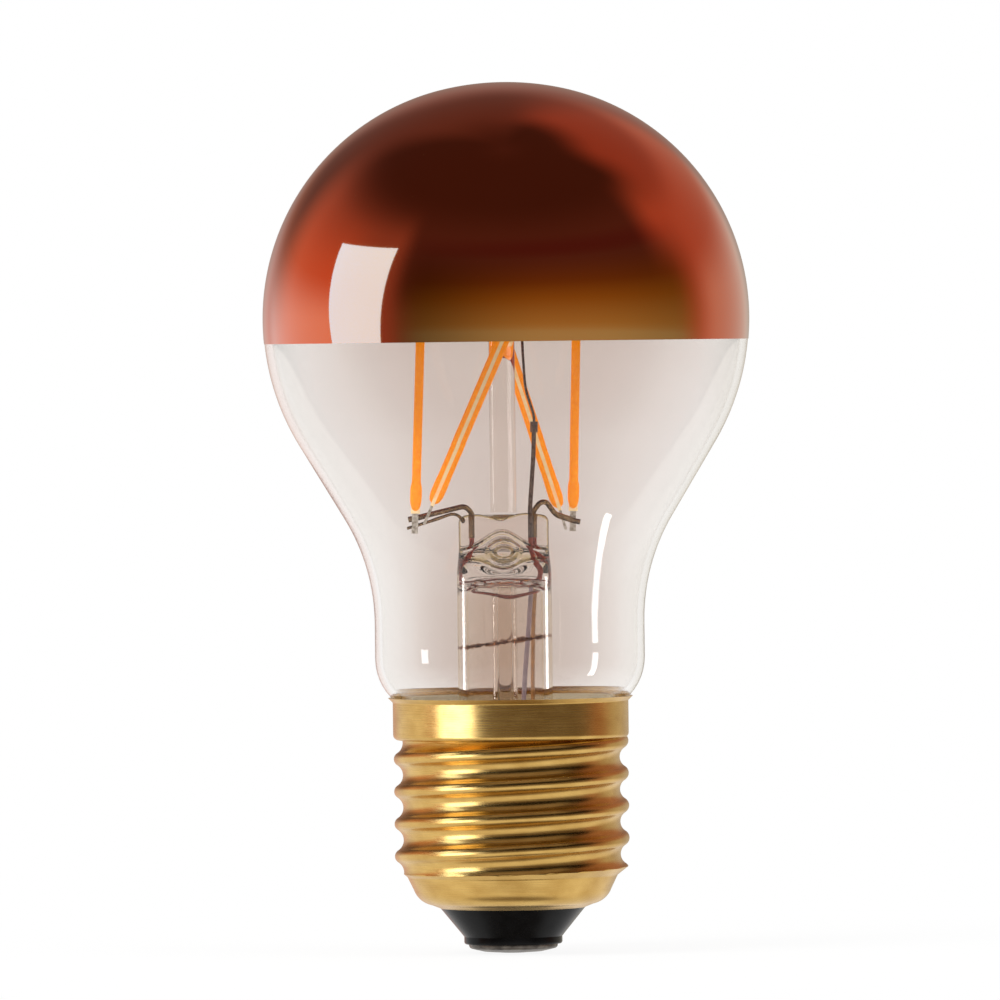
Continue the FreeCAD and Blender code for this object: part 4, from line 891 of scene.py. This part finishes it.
STUDIO_RADIUS = 3.0
DOME_STEP = 2.5
ROOM_TONES = [
    # Azimuth and elevation span in degrees, softness of both, colour and strength
    ((-181, 181), (-91, 91), (1, 1), "#574743", 1.0),
    ((-70, 110), (-40, 8), (12, 8), "#786A60", 1.0),
    ((-181, -54), (-91, 42), (7, 12), "#96776A", 1.0),
    ((-181, -80), (-91, 27), (14, 15), "#DC9C7A", 1.0),
    ((-181, -88), (-91, 8), (6, 8), "#FFFFFF", 1.0),
    ((-181, -148), (-91, 8), (6, 8), "#EECCC2", 1.0),
    ((86, 181), (-91, 60), (12, 10), "#B88670", 1.0),
    ((108, 181), (-91, 14), (12, 8), "#D3CCBE", 1.0),
    ((-181, 181), (46, 91), (1, 12), "#463832", 1.0),
    ((106, 181), (38, 66), (16, 8), "#9C6C5A", 1.0),
    ((168, 225), (8, 74), (14, 16), "#6A554C", 1.0),
    ((164, 196), (4, 34), (8, 12), "#94786C", 1.0),
    ((-181, 181), (-91, -15), (1, 6), "#F4F2F0", 1.1),
    ((-100, 110), (-91, -60), (20, 8), "#7E7060", 1.0),
    ((120, 240), (-80, -30), (20, 10), "#FFFFFF", 0.9),
]


def around(azimuth, height, distance):
    """A place this far from the bulb: azimuth 0 is straight in front, and 90 is on the right."""
    turn = math.radians(azimuth)
    return Vector((distance * math.sin(turn), -distance * math.cos(turn), height))


def within(value, span, soft):
    """1 inside a span and 0 outside it, with edges this soft to both sides."""
    return smooth(value, span[0] - soft, span[0] + soft) * (
        1 - smooth(value, span[1] - soft, span[1] + soft)
    )


def show_only_in(light, *pieces):
    """Keep a lamp or card to the reflections in these pieces."""
    light.light_linking.receiver_collection = bpy.data.collections.new(f"{light.name}_receivers")
    for shown_in in pieces:
        light.light_linking.receiver_collection.objects.link(shown_in)


def reflected_card(name, grid, glows):
    """A surface that only glossy rays see, from rows of places with a glow at each: red, green,
    blue and how opaque it is."""
    mesh = bpy.data.meshes.new(name)
    wide = len(grid[0])
    mesh.from_pydata([place for row in grid for place in row], [], [
        (i * wide + j, i * wide + j + 1, (i + 1) * wide + j + 1, (i + 1) * wide + j)
        for i in range(len(grid) - 1) for j in range(wide - 1)
    ])
    layer = mesh.color_attributes.new("glow", "FLOAT_COLOR", "POINT")
    layer.data.foreach_set("color", [part for row in glows for glow in row for part in glow])
    card = bpy.data.objects.new(name, mesh)
    bpy.context.scene.collection.objects.link(card)
    paint = bpy.data.materials.new(name)
    paint.use_nodes = True
    paint.cycles.emission_sampling = "NONE"
    tree = paint.node_tree
    tree.nodes.clear()
    glow = add(tree, "ShaderNodeVertexColor", layer_name="glow").outputs
    lit = add(tree, "ShaderNodeEmission", {"Color": glow["Color"], "Strength": 1.0})
    clear = add(tree, "ShaderNodeBsdfTransparent")
    seen = add(
        tree, "ShaderNodeMixShader", {0: glow["Alpha"], 1: clear.outputs[0], 2: lit.outputs[0]},
    )
    add(tree, "ShaderNodeOutputMaterial", {"Surface": seen.outputs[0]})
    mesh.materials.append(paint)
    for ray in ("camera", "diffuse", "transmission", "volume_scatter", "shadow"):
        setattr(card, f"visible_{ray}", False)
    return card


def dome_place(azimuth, elevation):
    """A place on the dome in a direction in degrees."""
    rise = math.radians(elevation)
    return around(azimuth, STUDIO_RADIUS * math.sin(rise), STUDIO_RADIUS * math.cos(rise))


def room_glow(azimuth, elevation):
    """The studio's colour in a direction, with each tone laid over those before it."""
    glow = Vector((0, 0, 0))
    for across, up, soft, colour, strength in ROOM_TONES:
        share = max(within(azimuth + turn, across, soft[0]) for turn in (-360, 0, 360))
        share *= within(elevation, up, soft[1])
        glow = glow.lerp(Vector(linear(colour)[:3]) * strength, share)
    return (*glow, 1.0)


directions = [
    [(DOME_STEP * j - 180, DOME_STEP * i - 90) for j in range(145)] for i in range(73)
]
reflected_card(
    "studio_room",
    [[dome_place(*direction) for direction in row] for row in directions],
    [[room_glow(*direction) for direction in row] for row in directions],
)

# Window and table in the crown
# The mirror shows a tall window near on its left and the pale table's glow along its lower
# edge, greenish where it is brightest and brown above. Both are cards that it alone reflects.

WINDOW_DISTANCE = 0.15
WINDOW_GLOW = (1.12, 4.1, 8.2, 1.0)
WINDOW_CORNERS = [
    # Azimuth in degrees and height in mm
    Vector((-87.8, 144.3)),
    Vector((-53.8, 154.0)),
    Vector((-56.8, 47.7)),
    Vector((-83.9, 51.1)),
]
TABLE_DISTANCE = 0.16
TABLE_TONES = [
    # Height in mm and colour
    (40, "#B5FFD0"),
    (54, "#B5FFD0"),
    (62, "#ACD488"),
    (93, "#8F9440"),
    (116, "#706328"),
    (150, "#594B42"),
]


def table_glow(azimuth, height):
    """The table's glow low in front and on the right, by azimuth and height in mm."""
    low, high = TABLE_TONES[0], TABLE_TONES[-1]
    for first, second in zip(TABLE_TONES, TABLE_TONES[1:]):
        if first[0] <= height <= second[0]:
            low, high = first, second
    share = (height - low[0]) / (high[0] - low[0])
    colour = Vector(linear(low[1])[:3]).lerp(Vector(linear(high[1])[:3]), share)
    from_left = smooth(azimuth, -52, 22)
    to_right = smooth(azimuth, 30, 95)
    bright = 0.3 + 0.7 * from_left * (1 - 0.45 * to_right)
    across = smooth(azimuth, -55, -35) * (1 - smooth(azimuth, 80, 105))
    return (*(colour * bright), across * (1 - smooth(height, 92, 195)))


table_spots = [[(5 * j - 60, 40 + 5 * i) for j in range(35)] for i in range(32)]
table_card = reflected_card(
    "table_glow",
    [[around(spot[0], spot[1] * MM, TABLE_DISTANCE) for spot in row] for row in table_spots],
    [[table_glow(*spot) for spot in row] for row in table_spots],
)
show_only_in(table_card, crown)


def window_spot(across, down):
    """A place in the window by its shares of the way across and down."""
    top = WINDOW_CORNERS[0].lerp(WINDOW_CORNERS[1], across)
    return top.lerp(WINDOW_CORNERS[3].lerp(WINDOW_CORNERS[2], across), down)


window_spots = [[window_spot(j / 12, i / 12) for j in range(13)] for i in range(13)]
window_card = reflected_card(
    "window",
    [[around(spot.x, spot.y * MM, WINDOW_DISTANCE) for spot in row] for row in window_spots],
    [[WINDOW_GLOW for _ in row] for row in window_spots],
)
show_only_in(window_card, crown)

# Lamps in the brass and the glass
# The same windows and the white ceiling as the brass shows them, and the thin streaks and panes
# of light that stand in the bulb's neck, the stem, the tube and the rod, each in one piece alone.

SIDE_LAMPS = [
    # Middle x, azimuth, height, distance, width and height in mm, radiance, colour, piece
    ("window_in_brass", 0, -71, 98, 148, 76, 92, 4.0, "#D8E6FF", shell),
    ("low_window_in_brass", 0, -54, 8, 140, 92, 70, 5.5, "#DCE8FF", shell),
    ("ceiling_in_brass", 0, 12, 240, 110, 380, 290, 0.26, "#FFEAD8", shell),
    ("upper_strip_in_neck", 0, 55.3, 37.2, 24.6, 2.0, 6.0, 22.0, "#FFFFFF", bulb),
    ("lower_strip_in_neck", 0, 55.3, 29, 24.6, 2.0, 8.0, 22.0, "#FFFFFF", bulb),
    ("pane_in_neck", 0, -55.4, 32.5, 24.6, 2.3, 2.2, 20.0, "#FFFFFF", bulb),
    ("left_streak_in_stem", MOUNT_X, -93, 35.5, 10, 1.6, 13, 13.0, "#FFFFFF", stem_piece),
    ("right_streak_in_stem", MOUNT_X, 95.6, 35.5, 9.7, 1.8, 13, 13.0, "#FFFFFF", stem_piece),
    ("left_streak_in_rod", MOUNT_X, -86, 58.5, 4.6, 1.2, 19, 20.0, "#FFFFFF", rod_piece),
    ("right_streak_in_rod", MOUNT_X, 62, 58.5, 4.8, 3.6, 19, 16.0, "#FFFFFF", rod_piece),
    ("left_streak_in_tube", MOUNT_X, -102.6, 31, 2.9, 0.6, 18, 26.0, "#FFFFFF", tube),
    ("right_streak_in_tube", MOUNT_X, 80.5, 31, 3.05, 0.7, 18, 26.0, "#FFFFFF", tube),
]
for name, middle, azimuth, height, away, wide, high, radiance, colour, shown_in in SIDE_LAMPS:
    lamp = bpy.data.lights.new(name, "AREA")
    lamp.shape = "RECTANGLE"
    lamp.size, lamp.size_y = wide * MM, high * MM
    lamp.energy = radiance * math.pi * wide * high * MM ** 2
    lamp.color = linear(colour)[:3]
    stand = bpy.data.objects.new(name, lamp)
    stand.location = around(azimuth, height * MM, away * MM) + Vector((middle * MM, 0, 0))
    stand.rotation_euler = (math.radians(90), 0, math.radians(azimuth))
    for ray in ("camera", "diffuse", "transmission", "volume_scatter"):
        setattr(stand, f"visible_{ray}", False)
    bpy.context.scene.collection.objects.link(stand)
    show_only_in(stand, shown_in)

# Floor and white surround
# A sheet of pale matt board in a white surround. The board keeps the bulb's faint shadow, and to
# the eye it runs out into the white round it.

FLOOR_RADIUS = 0.9
FLOOR_DROP = 0.0001


def seen_plainly(tree):
    """1 for what the eye sees, straight or through or in a gloss, and 0 for other light."""
    rays = add(tree, "ShaderNodeLightPath").outputs
    looking = rays["Is Camera Ray"]
    for other in ("Is Glossy Ray", "Is Transmission Ray"):
        looking = add(
            tree, "ShaderNodeMath", {0: looking, 1: rays[other]}, operation="MAXIMUM",
        ).outputs[0]
    return looking


floor_mesh = bpy.data.meshes.new("floor")
floor_disc = bmesh.new()
bmesh.ops.create_circle(floor_disc, cap_ends=True, segments=96, radius=FLOOR_RADIUS)
floor_disc.to_mesh(floor_mesh)
floor_disc.free()
floor = bpy.data.objects.new("floor", floor_mesh)
floor.location = (0, 0, -FLOOR_DROP)
floor.visible_glossy = False
bpy.context.scene.collection.objects.link(floor)
# Pale board: matt to the light, and nearly pure white to the eye away from the bulb
floor_paint = bpy.data.materials.new("pale_floor")
floor_paint.use_nodes = True
tree = floor_paint.node_tree
tree.nodes.clear()
place = add(tree, "ShaderNodeTexCoord").outputs["Object"]
reach = add(tree, "ShaderNodeVectorMath", {0: place}, operation="LENGTH").outputs["Value"]
plain = add(tree, "ShaderNodeMapRange", {
    "Value": reach, "From Min": 0.01, "From Max": 0.1, "To Min": 0.9, "To Max": 1.0,
}).outputs["Result"]
matt = add(tree, "ShaderNodeBsdfDiffuse", {"Color": linear("#F7F6F4")})
white = add(tree, "ShaderNodeEmission", {"Color": (1, 1, 1, 1), "Strength": 1.0})
share = add(
    tree, "ShaderNodeMath", {0: seen_plainly(tree), 1: plain}, operation="MULTIPLY",
)
mixed = add(
    tree, "ShaderNodeMixShader",
    {0: share.outputs[0], 1: matt.outputs[0], 2: white.outputs[0]},
)
add(tree, "ShaderNodeOutputMaterial", {"Surface": mixed.outputs[0]})
floor_mesh.materials.append(floor_paint)

world = bpy.data.worlds.new("white_surround")
bpy.context.scene.world = world
world.use_nodes = True
tree = world.node_tree
tree.nodes.clear()
strength = add(
    tree, "ShaderNodeMapRange", {"Value": seen_plainly(tree), "To Min": 0.6, "To Max": 1.0},
)
surround = add(
    tree, "ShaderNodeBackground",
    {"Strength": strength.outputs["Result"], "Color": (1, 1, 1, 1)},
)
add(tree, "ShaderNodeOutputWorld", {"Surface": surround.outputs[0]})

# Key and fill lamps
# Two large soft boxes above the front corners light the strips, the wires and the floor. Neither
# shows in a gloss, since the studio's walls and windows stand for them there.

SOFT_BOX_DISTANCE = 0.9
AIMED_AT = Vector((0, 0, 0.05))
for name, azimuth, height, power, size in (
    ("key_lamp", -55, 0.75, 9.0, 0.5),
    ("fill_lamp", 60, 0.5, 4.0, 0.6),
):
    lamp = bpy.data.lights.new(name, "AREA")
    lamp.energy = power
    lamp.size = size
    stand = bpy.data.objects.new(name, lamp)
    stand.location = around(azimuth, height, SOFT_BOX_DISTANCE)
    stand.rotation_euler = (AIMED_AT - stand.location).to_track_quat("-Z", "Y").to_euler()
    stand.visible_glossy = False
    stand.visible_transmission = False
    bpy.context.scene.collection.objects.link(stand)

# Camera
# A long lens level with the mirror's edge, a little to the left of the bulb's axis. The picture
# is 112 mm across at the bulb, and its tilt is that of the photograph.

CAMERA_DISTANCE = 1.45
EYE_HEIGHT = 0.0684
PICTURE_MM = 112.0
PICTURE_PIXELS = 1000
EYE_ROW = 341.5
AXIS_COLUMN = 506.2
SENSOR_MM = 36.0
camera_data = bpy.data.cameras.new("camera")
camera_data.sensor_width = SENSOR_MM
camera_data.lens = SENSOR_MM * CAMERA_DISTANCE / (PICTURE_MM * MM)
camera_data.shift_y = -(PICTURE_PIXELS / 2 - EYE_ROW) / PICTURE_PIXELS
camera_data.clip_start = 0.1
camera_data.clip_end = 20.0
camera = bpy.data.objects.new("camera", camera_data)
camera.location = (
    -(AXIS_COLUMN - PICTURE_PIXELS / 2) * PICTURE_MM / PICTURE_PIXELS * MM,
    -CAMERA_DISTANCE,
    EYE_HEIGHT,
)
camera.rotation_euler = (math.radians(90), math.radians(0.69), 0)
bpy.context.scene.collection.objects.link(camera)
bpy.context.scene.camera = camera

# Plain view, and enough bounces for light that passes eight walls of glass
bpy.context.scene.view_settings.view_transform = "Standard"
bpy.context.scene.cycles.max_bounces = 24
bpy.context.scene.cycles.transmission_bounces = 24
bpy.context.scene.cycles.glossy_bounces = 8
bpy.context.scene.cycles.transparent_max_bounces = 16
